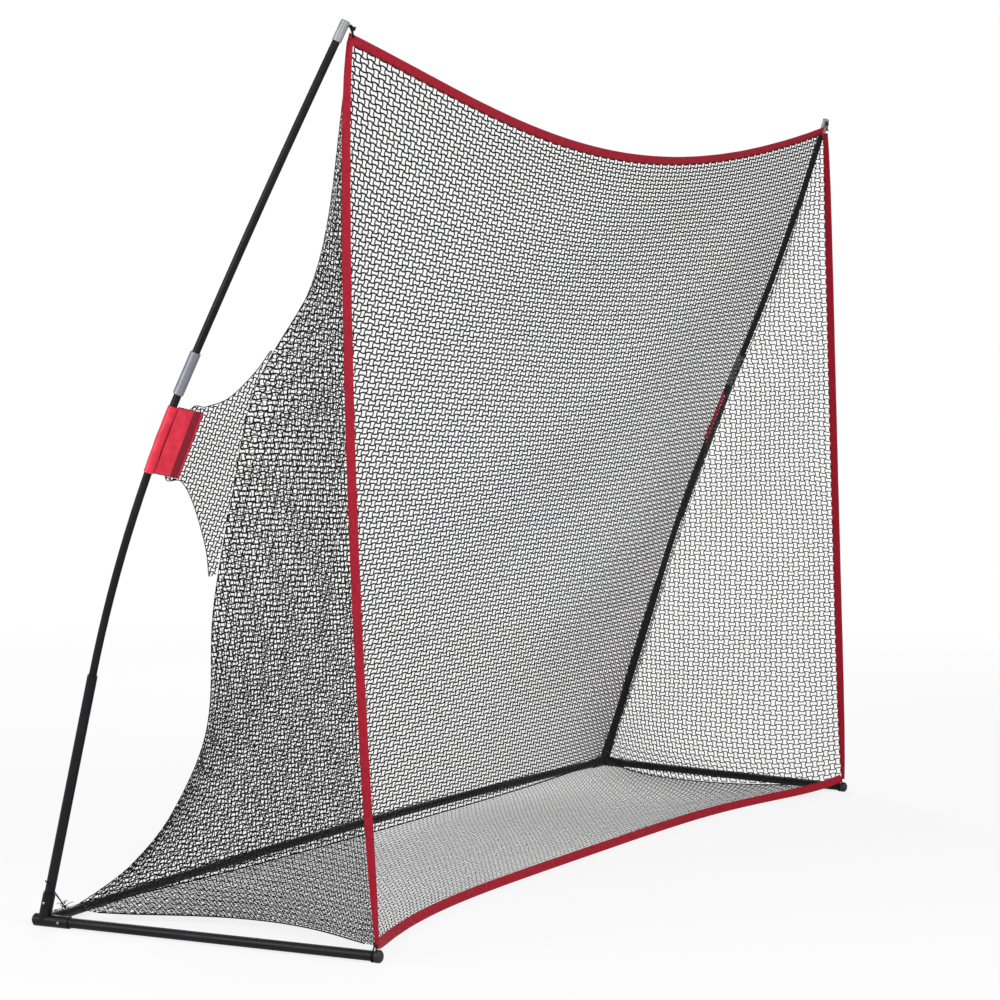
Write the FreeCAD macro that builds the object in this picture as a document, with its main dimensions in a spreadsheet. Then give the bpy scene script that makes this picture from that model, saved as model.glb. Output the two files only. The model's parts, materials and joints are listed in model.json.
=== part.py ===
"""Golf hitting net on a knock-down tube frame.

Two side tubes, a bowed cross bar and two raked poles carry a four-panel net with webbing hems, pole wraps,
seam cords and corner ties. Spring buttons lock the tube joints.

Millimetres, +X right, -Y towards the open front, +Z up. The origin is on the floor, at the centre of the box.
"""

import FreeCAD, Part
import Sketcher
import math
import os

Vector = FreeCAD.Vector
UP = Vector(0, 0, 1)
SIDES = (("left", -1), ("right", 1))

os.makedirs("parts", exist_ok=True)
doc = FreeCAD.newDocument("golf_net")

# ----------------------------------------------------------------------------------------------------
# Driving dimensions
# ----------------------------------------------------------------------------------------------------

SIZES = {
    "rear_width": 3050,  # between the rear corners, axis to axis
    "depth": 925,  # from the rear corner to the opening's lower corners
    "toe_in": 83,  # how far the net pulls each front end inward
    "axis_height": 15,  # of the base tubes
    "front_line": -496.0,  # of the opening's lower corners, so that the origin is the middle of the box
    "tube_end": 10,  # from that line back to the end of a side tube
    "cross_bow": 60,  # how far the middle of the cross bar bows backward
    "section_half": 510,  # from the middle of the cross bar to its section joints
    "tube_diameter": 25,
    "tube_wall": 1.2,
    "fit_gap": 0.3,  # on the diameter, where a tube plugs into a fitting
    "spigot_length": 60,
    "fitting_diameter": 31,
    "stub_length": 75,
    "stub_floor": 24,  # solid core of a corner fitting, from its centre
    "rear_overhang": 22,  # of the corner fitting behind the upright
    "button_station": 50,  # from a fitting's centre to its spring button
    "button_diameter": 7,
    "button_rise": 3,
    "button_stroke": 5,
    "cap_length": 14,
    "cap_plug": 22,
    "cap_dome": 4,
    "upright_reach_x": 40,  # of the upright's top, outward from the corner
    "upright_reach_y": 182,  # and forward
    "upright_top": 640,
    "pole_diameter": 19,
    "pole_wall": 3,
    "pole_insert": 110,  # length of the lower pole inside the upright
    "splice_x": 1566,
    "splice_y": 464,  # behind the front line
    "splice_height": 1372,
    "ferrule_diameter": 26,
    "ferrule_length": 110,
    "tip_x": 1452,
    "tip_y": 108,  # behind the front line
    "tip_height": 2170,
    "tip_cap_diameter": 23,
    "tip_cap_length": 52,
    "tip_cap_grip": 32,  # of the pole inside the cap
    "hook_diameter": 6,
    "hook_length": 12,
    "hook_knob": 11,
    "hem_width": 25,
    "hem_thickness": 3,
    "net_thickness": 2,
    "seam_gap": 6,  # from a seam's line to the edge of a panel
    "cord_diameter": 4,  # of the seam cords
    "edge_cord_diameter": 2.6,  # of the wings' edge cords
    "tie_diameter": 2.2,
    "wrap_length": 172,
    "wrap_reach": 84,  # of the wrap's leaves, from the pole's axis
    "wrap_height": 1216,
    "wrap_thickness": 2,
    "wrap_bore": 20.8,
    "top_sag": 164,
    "top_sag_back": 76,
    "top_sag_skew": 0.28,  # the hem hangs lowest a little to the right
    "bottom_bow": 190,  # of the front hem, backward along the floor
    "floor_edge_bow": 185,  # inward, of the seams between side and floor panels
    "rear_edge_bow": 95,  # forward, of the seam between back and floor panels
    "hem_bow_left": 26,
    "hem_bow_right": 2,
}

sheet = doc.addObject("Spreadsheet::Sheet", "sizes")
for row, (alias, value) in enumerate(SIZES.items(), start=1):
    sheet.set(f"A{row}", alias)
    sheet.set(f"B{row}", str(value))
    sheet.setAlias(f"B{row}", alias)
doc.recompute()


def size(alias):
    return float(sheet.get(alias))


nodes = []


def keep(feature, label):
    """Gives a finished sub-part its name and puts it on the list of pieces."""
    feature.Label = label
    nodes.append(feature)
    return feature


def frame_at(origin, along, facing):
    """A placement at origin with local Z along one direction and local X as near as it can be to another."""
    return FreeCAD.Placement(origin, FreeCAD.Rotation(facing, Vector(), along, "ZXY"))


# ----------------------------------------------------------------------------------------------------
# Lines of the frame
# ----------------------------------------------------------------------------------------------------


def corner(side):
    return Vector(side * size("rear_width") / 2, size("front_line") + size("depth"), size("axis_height"))


def front_end(side):
    """The end of a side tube."""
    x = side * (size("rear_width") / 2 - size("toe_in"))
    return Vector(x, size("front_line") + size("tube_end"), size("axis_height"))


def side_direction(side):
    return (front_end(side) - corner(side)).normalize()


def upright_foot_to_top(side):
    rise = size("upright_top") - size("axis_height")
    return Vector(side * size("upright_reach_x"), -size("upright_reach_y"), rise)


def upright_direction(side):
    return upright_foot_to_top(side).normalize()


def upright_top(side):
    return corner(side) + upright_foot_to_top(side)


def splice(side):
    return Vector(side * size("splice_x"), size("front_line") + size("splice_y"), size("splice_height"))


def tip(side):
    return Vector(side * size("tip_x"), size("front_line") + size("tip_y"), size("tip_height"))


def tangent_arc(start, direction, end):
    """(arc, its direction at the end): the arc that leaves start along direction and reaches end."""
    chord = end - start
    normal = chord - direction * chord.dot(direction)
    normal.normalize()
    radius = chord.Length**2 / (2 * chord.dot(normal))
    centre = start + normal * radius
    bisector = (start - centre) + (end - centre)
    middle = centre + bisector.normalize() * radius
    turn = start.sub(centre).getAngle(end.sub(centre))
    end_direction = direction * math.cos(turn) + normal * math.sin(turn)
    return Part.Arc(start, middle, end), end_direction


def pole_arcs(side):
    """The lower and upper pole's centre lines, and the directions at the splice and at the tip."""
    lower, at_splice = tangent_arc(upright_top(side), upright_direction(side), splice(side))
    upper, at_tip = tangent_arc(splice(side), at_splice, tip(side))
    return lower, upper, at_splice, at_tip


def pole_point(side, height):
    """The point of the upright or pole at a height."""
    foot = corner(side)
    top = upright_top(side)
    if height <= top.z:
        return foot + (top - foot) * ((height - foot.z) / (top.z - foot.z))
    lower, upper, _, at_tip = pole_arcs(side)
    if height >= tip(side).z:
        return tip(side) + at_tip * ((height - tip(side).z) / at_tip.z)
    arc = lower if height <= splice(side).z else upper
    low, high = arc.FirstParameter, arc.LastParameter
    for _ in range(40):
        middle = (low + high) / 2
        if arc.value(middle).z < height:
            low = middle
        else:
            high = middle
    return arc.value(low)


def cross_radius():
    half, bow = size("rear_width") / 2, size("cross_bow")
    return (half**2 + bow**2) / (2 * bow)


def cross_point(x):
    radius = cross_radius()
    centre_y = size("front_line") + size("depth") + size("cross_bow") - radius
    return Vector(x, centre_y + math.sqrt(radius**2 - x**2), size("axis_height"))


def cross_direction(x):
    """Along the cross bar, towards +X."""
    radius = cross_radius()
    return Vector(math.sqrt(radius**2 - x**2) / radius, -x / radius, 0)


# ----------------------------------------------------------------------------------------------------
# Ways of making a piece
# ----------------------------------------------------------------------------------------------------


def dim(plus=0, **shares):
    """(expression, value): a sum of shares of the sheet's sizes, and a plain number."""
    terms = [f"({share}) * sizes.{alias}" for alias, share in shares.items()]
    value = plus + sum(share * size(alias) for alias, share in shares.items())
    return " + ".join(terms + [f"({plus})"]), value


ZERO = ("0", 0)


def cylinder(name, radius, height, placement):
    """A Part cylinder whose radius and height are dims."""
    made = doc.addObject("Part::Cylinder", name)
    made.setExpression("Radius", radius[0])
    made.setExpression("Height", height[0])
    made.Placement = placement
    return made


def fused(name, shapes):
    made = doc.addObject("Part::MultiFuse", name)
    made.Shapes = shapes
    return made


def cut(name, base, tool):
    made = doc.addObject("Part::Cut", name)
    made.Base = base
    made.Tool = tool
    return made


def turned(name, outline, placement):
    """A PartDesign body turned about its Z axis. The outline is a closed list of (radius, height) dims."""
    body = doc.addObject("PartDesign::Body", name)
    plane = next(f for f in body.Origin.OriginFeatures if f.Role == "XZ_Plane")
    sketch = body.newObject("Sketcher::SketchObject", f"{name}_outline")
    sketch.AttachmentSupport = [(plane, "")]
    sketch.MapMode = "FlatFace"
    count = len(outline)
    points = [Vector(radius[1], height[1], 0) for radius, height in outline]
    for i in range(count):
        sketch.addGeometry(Part.LineSegment(points[i], points[(i + 1) % count]), False)
    for i in range(count):
        sketch.addConstraint(Sketcher.Constraint("Coincident", i, 2, (i + 1) % count, 1))
    for i, (radius, height) in enumerate(outline):
        for kind, (expression, value), axis in (("DistanceX", radius, -2), ("DistanceY", height, -1)):
            if value == 0:
                sketch.addConstraint(Sketcher.Constraint("PointOnObject", i, 1, axis))
            else:
                number = sketch.addConstraint(Sketcher.Constraint(kind, -1, 1, i, 1, value))
                sketch.setExpression(f"Constraints[{number}]", expression)
    revolution = body.newObject("PartDesign::Revolution", f"{name}_turned")
    revolution.Profile = sketch
    revolution.ReferenceAxis = (sketch, ["V_Axis"])
    revolution.Angle = 360
    body.Placement = placement
    return body


def shaped(label, shape):
    """A sub-part whose shape comes from its curves."""
    made = doc.addObject("Part::Feature", label)
    made.Shape = shape
    return keep(made, label)


def swept(path, radius):
    """A round bar of one radius along a wire of tangent edges."""
    first = path.OrderedEdges[0]
    start = first.valueAt(first.FirstParameter)
    along = first.tangentAt(first.FirstParameter)
    if (start - path.OrderedVertexes[0].Point).Length > 0.001:
        start = first.valueAt(first.LastParameter)
        along = first.tangentAt(first.LastParameter)
    ring = Part.Wire(Part.makeCircle(radius, start, along))
    return path.makePipeShell([ring], True, False)


def route(points):
    """A wire through runs between points, with the largest arc that fits at each inner point."""
    edges = []
    last = points[0]
    for before, point, after in zip(points, points[1:], points[2:]):
        back = (before - point).normalize()
        ahead = (after - point).normalize()
        reach = 0.45 * min((before - point).Length, (after - point).Length)
        turn = math.pi - back.getAngle(ahead)
        radius = reach / math.tan(turn / 2)
        bisector = (back + ahead).normalize()
        middle = point + bisector * (math.hypot(radius, reach) - radius)
        start, end = point + back * reach, point + ahead * reach
        edges.append(Part.LineSegment(last, start).toShape())
        edges.append(Part.Arc(start, middle, end).toShape())
        last = end
    edges.append(Part.LineSegment(last, points[-1]).toShape())
    return Part.Wire(edges)


def cord(label, points, diameter):
    """A cord laid along a route, checked against its section times its length."""
    path = route(points)
    shape = swept(path, diameter / 2)
    wanted = math.pi * diameter**2 / 4 * path.Length
    if abs(shape.Volume - wanted) > 0.02 * wanted:
        raise ValueError(f"{label} has the wrong volume")
    return shaped(label, shape)


def spline(points):
    curve = Part.BSplineCurve()
    curve.interpolate(points)
    return curve.toShape()


def sheet_of(rows, thickness):
    """A thin closed sheet through a grid of points, as thick as the vector that it is pushed along."""
    surface = Part.BSplineSurface()
    surface.interpolate(rows)
    return surface.toShape().extrude(thickness)


def strip_of(edge_points, other_points, thickness):
    """A thin closed strip between two curves."""
    face = Part.makeRuledSurface(spline(edge_points), spline(other_points))
    return face.extrude(thickness)


def mix(a, b, share):
    return a + (b - a) * share


# ----------------------------------------------------------------------------------------------------
# Tube frame
# ----------------------------------------------------------------------------------------------------

RADIUS = dim(tube_diameter=0.5)
BORE = dim(tube_diameter=0.5, tube_wall=-1)
BUTTON_HOLE = dim(button_diameter=0.5, plus=0.2)
HOLE_REACH = dim(fitting_diameter=1)
CORE_GAP = 1.0  # between a tube's end and the core of its fitting
PLUG_GAP = 0.1  # round a front cap's plug and a bush, on the radius
PRESS_FIT = 0.05  # that a rear cap's plug and a hook's pin are short of or over their tube, on the radius
SPIGOT_GAP = 0.15  # round a spigot of the cross bar, on the radius
REAR_SOCKET = 8  # depth of a corner fitting's rear socket
REAR_PLUG = 7  # length of the cap's plug in it
REAR_RIM = 3  # straight part of the rear cap's rim
SECTION_GAP = 0.5  # of the cross bar, at each section joint
BUSH_LENGTH = 40
BUSH_BORE_GAP = 0.2  # round the pole in its bush, on the radius
POLE_GAP = 0.6  # from the splice to the lower pole's end, inside the ferrule
FERRULE_GAP = 0.5  # round the poles, on the radius
CAP_GAP = 0.15  # round the pole in its tip cap, on the radius
CAP_FLOOR_GAP = 0.4  # from the pole's end to the floor of its tip cap
CAP_EDGE = 2  # chamfer of a tip cap
HOOK_DROP = 8  # from the top of a tip cap to its hook's axis
HOOK_ROOT = 6  # length of the hook's pin inside the cap
KNOB_LENGTH, KNOB_EDGE = 5, 1.5
BUTTON_EDGE = 1.8  # radius of a button's rounded rim
LEAF_DEPTH = 1.2  # from the tube's bore to the top of a button's spring leaf
LEAF_LENGTH, LEAF_THICKNESS, LEAF_HEEL = 34, 0.8, 10
LEAF_WIDTH, ARM_WIDTH, ARM_SEAT = 7, 5, 3  # the seat is half the chord of the bore that an arm lies on


def button_hole(name, origin, along, facing):
    """A drill through one wall, square to the tube."""
    return cylinder(name, BUTTON_HOLE, HOLE_REACH, frame_at(origin, facing, along))


def corner_stubs(side):
    """(name, direction, where its button faces) of a corner fitting's three stubs."""
    outward = Vector(side, 0, 0)
    return (
        ("side", side_direction(side), square_to(side_direction(side), outward)),
        ("upright", upright_direction(side), square_to(upright_direction(side), outward)),
        ("cross", cross_direction(side * size("rear_width") / 2) * -side, UP),
    )


def square_to(along, facing):
    """The part of facing that is square to along, as a unit vector."""
    return (facing - along * facing.dot(along)).normalize()


def corner_fitting(word, side):
    """Welded three-way socket with a closed core, a drilled wall on each stub and a flat sole."""
    centre = corner(side)
    outer_radius = dim(fitting_diameter=0.5)
    socket_radius = dim(tube_diameter=0.5, fit_gap=0.5)
    socket_length = dim(stub_length=1)
    solids, voids = [], []
    for name, along, facing in corner_stubs(side):
        stub = f"{word}_{name}_stub"
        foot = frame_at(centre, along, facing)
        solids.append(cylinder(stub, outer_radius, dim(stub_length=1), foot))
        floor = frame_at(centre + along * size("stub_floor"), along, facing)
        voids.append(cylinder(f"{stub}_socket", socket_radius, socket_length, floor))
        station = centre + along * size("button_station")
        voids.append(button_hole(f"{stub}_drill", station, along, facing))
    back = side_direction(side) * -1
    rear = frame_at(centre, back, UP)
    solids.append(cylinder(f"{word}_rear_stub", outer_radius, dim(rear_overhang=1), rear))
    plug_floor = centre + back * (size("rear_overhang") - REAR_SOCKET)
    voids.append(cylinder(f"{word}_rear_socket", socket_radius, dim(plus=20), frame_at(plug_floor, back, UP)))
    ground = doc.addObject("Part::Box", f"{word}_sole_cut")
    ground.setExpression("Length", "4 * sizes.stub_length")
    ground.setExpression("Width", "4 * sizes.stub_length")
    ground.setExpression("Height", "sizes.fitting_diameter")
    half = 2 * size("stub_length")
    ground.Placement = FreeCAD.Placement(
        Vector(centre.x - half, centre.y - half, -size("fitting_diameter")), FreeCAD.Rotation()
    )
    voids.append(ground)
    made = cut(f"{word}_corner", fused(f"{word}_corner_stubs", solids), fused(f"{word}_corner_voids", voids))
    return keep(made, f"corner_fitting_{word}")


def end_cap(label, plug_radius, plug_length, rim_length, placement):
    """Domed plastic cap: a plug inside the tube and a rim of the fitting's diameter, with a flat sole."""
    rim = dim(fitting_diameter=0.5)
    dome = dim(fitting_diameter=0.5, cap_dome=-1)
    length = rim_length[1]
    outline = [
        (ZERO, (f"-({plug_length[0]})", -plug_length[1])),
        (plug_radius, (f"-({plug_length[0]})", -plug_length[1])),
        (plug_radius, ZERO),
        (rim, ZERO),
        (rim, (f"({rim_length[0]}) - sizes.cap_dome", length - size("cap_dome"))),
        (dome, rim_length),
        (ZERO, rim_length),
    ]
    body = turned(f"{label}_turned", outline, placement)
    ground = doc.addObject("Part::Box", f"{label}_sole_cut")
    ground.setExpression("Length", "4 * sizes.fitting_diameter")
    ground.setExpression("Width", "4 * sizes.fitting_diameter")
    ground.setExpression("Height", "sizes.fitting_diameter")
    half = 2 * size("fitting_diameter")
    origin = placement.Base
    ground.Placement = FreeCAD.Placement(
        Vector(origin.x - half, origin.y - half, -size("fitting_diameter")), FreeCAD.Rotation()
    )
    return keep(cut(f"{label}_cut", body, ground), label)


def straight_tube(label, start, along, facing, length, station):
    """A drilled steel tube. The station is how far its button hole is from its start."""
    place = frame_at(start, along, facing)
    outer = cylinder(f"{label}_outer", RADIUS, length, place)
    inner = cylinder(f"{label}_inner", BORE, length, place)
    drill = button_hole(f"{label}_drill", start + along * station, along, facing)
    return keep(cut(f"{label}_cut", outer, fused(f"{label}_voids", [inner, drill])), label)


def base_tubes():
    for word, side in SIDES:
        corner_fitting(word, side)
        along = side_direction(side)
        facing = square_to(along, Vector(side, 0, 0))
        start = corner(side) + along * (size("stub_floor") + CORE_GAP)
        run = (front_end(side) - start).Length
        station = size("button_station") - size("stub_floor") - CORE_GAP
        straight_tube(f"side_tube_{word}", start, along, facing, dim(plus=run), station)
        plug = dim(tube_diameter=0.5, tube_wall=-1, plus=-PLUG_GAP)
        place = frame_at(front_end(side), along, UP)
        end_cap(f"front_cap_{word}", plug, dim(cap_plug=1), dim(cap_length=1), place)
        plug = dim(tube_diameter=0.5, plus=PRESS_FIT)
        place = frame_at(corner(side) - along * size("rear_overhang"), along * -1, UP)
        end_cap(f"rear_cap_{word}", plug, dim(plus=REAR_PLUG), dim(cap_dome=1, plus=REAR_RIM), place)


def cross_path(start_x, end_x):
    """The cross bar's centre line from one X to another."""
    middle = cross_point((start_x + end_x) / 2)
    return Part.Wire(Part.Arc(cross_point(start_x), middle, cross_point(end_x)).toShape())


def cross_drill(x):
    """A vertical button hole in the upper wall of the cross bar."""
    return Part.makeCylinder(BUTTON_HOLE[1], size("tube_diameter"), cross_point(x), UP)


def splice_button_x():
    """How far the cross bar's own spring buttons are from its middle: half way along the spigots."""
    return size("section_half") + size("spigot_length") / 2


def cross_tubes():
    """Left and right sections that plug into the corners, and a middle section with a spigot at each end."""
    outer, bore = RADIUS[1], BORE[1]
    spigot = bore - SPIGOT_GAP
    spigot_bore = spigot - size("tube_wall")
    joint = size("section_half")
    button_x = splice_button_x()
    reach = size("stub_floor") + CORE_GAP
    corner_button = size("rear_width") / 2 - size("button_station")
    for word, side in SIDES:
        start = side * (size("rear_width") / 2 - reach)
        path = cross_path(start, side * joint)
        tube = swept(path, outer).cut(swept(path, bore))
        for x in (side * corner_button, side * button_x):
            tube = tube.cut(cross_drill(x))
        shaped(f"cross_tube_{word}", tube)
    shoulder = joint - SECTION_GAP
    ends = joint + size("spigot_length")
    middle = swept(cross_path(-shoulder, shoulder), outer)
    middle = middle.fuse(swept(cross_path(-ends, ends), spigot))
    middle = middle.cut(swept(cross_path(-ends, ends), spigot_bore))
    for side in (-1, 1):
        middle = middle.cut(cross_drill(side * button_x))
    shaped("cross_tube_centre", middle)


def poles():
    """Uprights, bushes, lower and upper poles, splice ferrules, tip caps and hooks."""
    bushes = []
    hooks = []
    for word, side in SIDES:
        along = upright_direction(side)
        facing = square_to(along, Vector(side, 0, 0))
        start = corner(side) + along * (size("stub_floor") + CORE_GAP)
        length = (upright_top(side) - start).Length
        station = size("button_station") - size("stub_floor") - CORE_GAP
        straight_tube(f"upright_tube_{word}", start, along, facing, dim(plus=length), station)

        lower, upper, at_splice, at_tip = pole_arcs(side)
        foot = upright_top(side) - along * size("pole_insert")
        straight = Part.LineSegment(foot, upright_top(side)).toShape()
        pole_radius = size("pole_diameter") / 2
        pole_bore = pole_radius - size("pole_wall")
        lower_end = splice(side) - at_splice * POLE_GAP
        lower_path = Part.Wire([straight, lower.toShape()])
        trim = Part.makeCylinder(pole_radius * 2, 4 * POLE_GAP, lower_end, at_splice)
        shape = swept(lower_path, pole_radius).cut(swept(lower_path, pole_bore)).cut(trim)
        shaped(f"lower_pole_{word}", shape)
        upper_path = Part.Wire(upper.toShape())
        shape = swept(upper_path, pole_radius).cut(swept(upper_path, pole_bore))
        shaped(f"upper_pole_{word}", shape)

        bush_foot = upright_top(side) - along * BUSH_LENGTH
        bush = Part.makeCylinder(BORE[1] - PLUG_GAP, BUSH_LENGTH, bush_foot, along)
        bushes.append(bush.cut(Part.makeCylinder(pole_radius + BUSH_BORE_GAP, BUSH_LENGTH, bush_foot, along)))

        ferrule_bore = dim(pole_diameter=0.5, plus=FERRULE_GAP)
        half = ("-0.5 * sizes.ferrule_length", -size("ferrule_length") / 2)
        rim = dim(ferrule_diameter=0.5)
        eased = dim(ferrule_diameter=0.5, plus=-1)
        outline = [
            (ferrule_bore, half),
            (eased, half),
            (rim, dim(ferrule_length=-0.5, plus=1)),
            (rim, dim(ferrule_length=0.5, plus=-1)),
            (eased, dim(ferrule_length=0.5)),
            (ferrule_bore, dim(ferrule_length=0.5)),
        ]
        ferrule = turned(f"ferrule_{word}_turned", outline, frame_at(splice(side), at_splice, facing))
        keep(ferrule, f"pole_ferrule_{word}")

        inward = hook_direction(side, at_tip)
        cap_rim = dim(tip_cap_diameter=0.5)
        cap_bore = dim(pole_diameter=0.5, plus=CAP_GAP)
        top = dim(tip_cap_length=1, tip_cap_grip=-1)
        grip = dim(tip_cap_grip=-1)
        outline = [
            (cap_bore, grip),
            (cap_rim, grip),
            (cap_rim, dim(tip_cap_length=1, tip_cap_grip=-1, plus=-CAP_EDGE)),
            (dim(tip_cap_diameter=0.5, plus=-CAP_EDGE), top),
            (ZERO, top),
            (ZERO, dim(plus=CAP_FLOOR_GAP)),
            (cap_bore, dim(plus=CAP_FLOOR_GAP)),
        ]
        cap = turned(f"tip_cap_{word}_turned", outline, frame_at(tip(side), at_tip, inward))
        socket = hook_foot(side, at_tip)
        hole = cylinder(
            f"tip_cap_{word}_hook_hole",
            dim(hook_diameter=0.5, plus=PRESS_FIT),
            dim(tip_cap_diameter=0.5),
            frame_at(socket, inward, at_tip),
        )
        keep(cut(f"tip_cap_{word}_cut", cap, hole), f"tip_cap_{word}")
        pin_start = socket + inward * (size("tip_cap_diameter") / 2 - HOOK_ROOT)
        pin_length = size("hook_length") + HOOK_ROOT
        pin = Part.makeCylinder(size("hook_diameter") / 2, pin_length, pin_start, inward)
        knob_base = pin_start + inward * pin_length
        knob = Part.makeCylinder(size("hook_knob") / 2, KNOB_LENGTH, knob_base, inward)
        rims = [edge for edge in knob.Edges if len(edge.Vertexes) == 1]
        knob = knob.makeFillet(KNOB_EDGE, rims)
        hooks.append(pin.fuse(knob))
    shaped("pole_bushes", Part.makeCompound(bushes))
    shaped("tip_hooks", Part.makeCompound(hooks))


def hook_direction(side, at_tip):
    """From the tip cap towards the net's top corner."""
    return square_to(at_tip, Vector(-side * 0.75, -0.65, 0))


def hook_foot(side, at_tip):
    """Where the hook's axis crosses the tip cap's."""
    return tip(side) + at_tip * (size("tip_cap_length") - size("tip_cap_grip") - HOOK_DROP)


def button_places():
    """(name, point on the axis, along the tube, where its button faces, surface radius) of each joint."""
    outer = size("fitting_diameter") / 2
    for word, side in SIDES:
        for name, along, facing in corner_stubs(side):
            yield f"{name}_button_{word}", corner(side) + along * size("button_station"), along, facing, outer
        x = side * splice_button_x()
        yield f"splice_button_{word}", cross_point(x), cross_direction(x) * side, UP, RADIUS[1]


def spring_buttons():
    """A domed pin on a spring leaf in each tube joint. The fixed arms of the springs lie on the far wall."""
    arms = []
    for name, centre, along, facing, surface in button_places():
        spliced = name.startswith("splice")
        bore = BORE[1] - (SPIGOT_GAP + size("tube_wall") if spliced else 0)
        top = surface + size("button_rise")
        radius = size("button_diameter") / 2
        leaf_top = bore - LEAF_DEPTH
        pin = Part.makeCylinder(radius, top - leaf_top, centre + facing * leaf_top, facing)
        rim = [edge for edge in pin.Edges if abs((edge.CenterOfMass - centre).dot(facing) - top) < 0.01]
        pin = pin.makeFillet(BUTTON_EDGE, rim)
        turn = FreeCAD.Rotation(along, along.cross(facing), facing, "ZXY")
        leaf = Part.makeBox(LEAF_LENGTH, LEAF_WIDTH, LEAF_THICKNESS)
        leaf.translate(Vector(-LEAF_HEEL, -LEAF_WIDTH / 2, -LEAF_THICKNESS))
        place = FreeCAD.Placement(centre + facing * leaf_top, turn)
        leaf = leaf.transformGeometry(place.toMatrix())
        shaped(name, pin.fuse(leaf))
        arm = Part.makeBox(LEAF_LENGTH, ARM_WIDTH, LEAF_THICKNESS)
        arm.translate(Vector(-LEAF_HEEL, -ARM_WIDTH / 2, 0))
        arm_depth = math.sqrt(bore**2 - ARM_SEAT**2) - LEAF_THICKNESS / 2
        place = FreeCAD.Placement(centre - facing * arm_depth, turn)
        arms.append(arm.transformGeometry(place.toMatrix()))
    shaped("spring_arms", Part.makeCompound(arms))


# ----------------------------------------------------------------------------------------------------
# Net: the lines that its edges follow
# ----------------------------------------------------------------------------------------------------

SEAM_SPREAD = (  # (height, how far the side seam hangs in from the pole)
    (35, 65), (75, 130), (135, 207), (255, 289), (475, 341), (785, 287),
    (1065, 247), (1345, 197), (1605, 228), (1875, 156), (2162, 24),
)
WING_EDGE = (  # (height, distance from the pole) of a wing's free edge, from its lower to its upper end
    (870, 255), (947, 220), (1053, 151), (1112, 96), (1128, 48),
    (1280, 48), (1292, 88), (1313, 139), (1374, 180), (1425, 196),
)
SEAM_BOTTOM, SEAM_TOP = 35, 2162
HEM_BOTTOM, HEM_TOP = 47, 2162
HEM_END = 2138  # where the webbing of a side hem stops, below the corner's tie
SIDE_NET_TOP = 2058
DOWN_BACK = Vector(0, 0.29, -0.957)  # down the back panel
TIGHTENING_ROUNDS = 150
PANEL_GAP = 3  # from a hem's inner edge to the panel under it, along the panel
HEM_STOP = 6  # from each front corner to the end of the bottom hem
WING_INSET = 7  # of a wing's net from its edge cord
WING_BOTTOM, WING_TOP = 912, 1352  # of a wing's net, along its seam


def lean(side):
    """From a pole towards its seam: inward and forward."""
    return Vector(-side * 0.88, -0.475, 0)


def between(table, key):
    """Smooth value of a table of (key, value) pairs."""
    last = len(table) - 2
    i = 0
    while i < last and key > table[i + 1][0]:
        i += 1

    def slope(j):
        low, high = max(j - 1, 0), min(j + 1, len(table) - 1)
        return (table[high][1] - table[low][1]) / (table[high][0] - table[low][0])

    (start, first), (end, second) = table[i], table[i + 1]
    span = end - start
    share = (key - start) / span
    rise = share**2 * (3 - 2 * share)
    ease_out = share * (1 - share) ** 2 * span * slope(i)
    ease_in = -(share**2) * (1 - share) * span * slope(i + 1)
    return mix(first, second, rise) + ease_out + ease_in


def seam(side, height):
    """The seam between the back and a side panel."""
    return pole_point(side, height) + lean(side) * between(SEAM_SPREAD, height)


def hem_line(side, height):
    """The middle of a side hem."""
    share = (height - HEM_BOTTOM) / (HEM_TOP - HEM_BOTTOM)
    bow = size("hem_bow_left") if side < 0 else size("hem_bow_right")
    bottom = front_end(side) + Vector(0, -3, HEM_BOTTOM - size("axis_height"))
    top = Vector(side * 1448, size("front_line") + 100, HEM_TOP)
    return mix(bottom, top, share) + Vector(0, 4 * bow * share * (1 - share), 0)


def hem_half(height):
    """Half the width of a side hem, which is gathered towards both ends."""
    gathered = 0.6 * math.exp((HEM_BOTTOM - height) / 120) + 0.4 * math.exp((height - HEM_TOP) / 150)
    return size("hem_width") / 2 * (1 - gathered)


def floor_seam(side, share):
    """The seam between a side panel and the floor panel, from the front corner to the rear one."""
    front = front_end(side) + Vector(0, 0, 41 - size("axis_height"))
    rear = seam(side, SEAM_BOTTOM)
    line = mix(front, rear, share)
    arch = 4 * share * (1 - share)
    fall = 1 - (2 * share - 1) ** 6
    return line + Vector(-side * size("floor_edge_bow") * arch, 0, -18 * fall)


def rear_seam(share):
    """The seam between the back and floor panels, from left to right."""
    line = mix(seam(-1, SEAM_BOTTOM), seam(1, SEAM_BOTTOM), share)
    arch = 1 - abs(2 * share - 1) ** 3
    return line + Vector(0, -size("rear_edge_bow") * arch, 8 * arch)


def top_line(share, drop):
    """A line along the top hem, from left to right, a given way below its upper edge."""
    line = mix(seam(-1, SEAM_TOP), seam(1, SEAM_TOP), share)
    offset = 2 * share - 1
    arch = (1 - offset**2) * (1 + size("top_sag_skew") * offset - 0.15 * offset**2)
    return line + Vector(0, size("top_sag_back") * arch, -size("top_sag") * arch) + DOWN_BACK * drop


def bottom_line(x, rise):
    """A line along the bottom hem, which stands on its edge, a given way above its lower edge."""
    share = abs(x) / (size("rear_width") / 2 - size("toe_in"))
    arch = 1 - share**4
    y = size("front_line") + 6 + size("bottom_bow") * arch + 0.35 * rise
    return Vector(x, y, 1.5 + 31 * share**14 + 0.93 * rise)


def steps(start, end, count):
    return [mix(start, end, i / (count - 1)) for i in range(count)]


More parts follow.
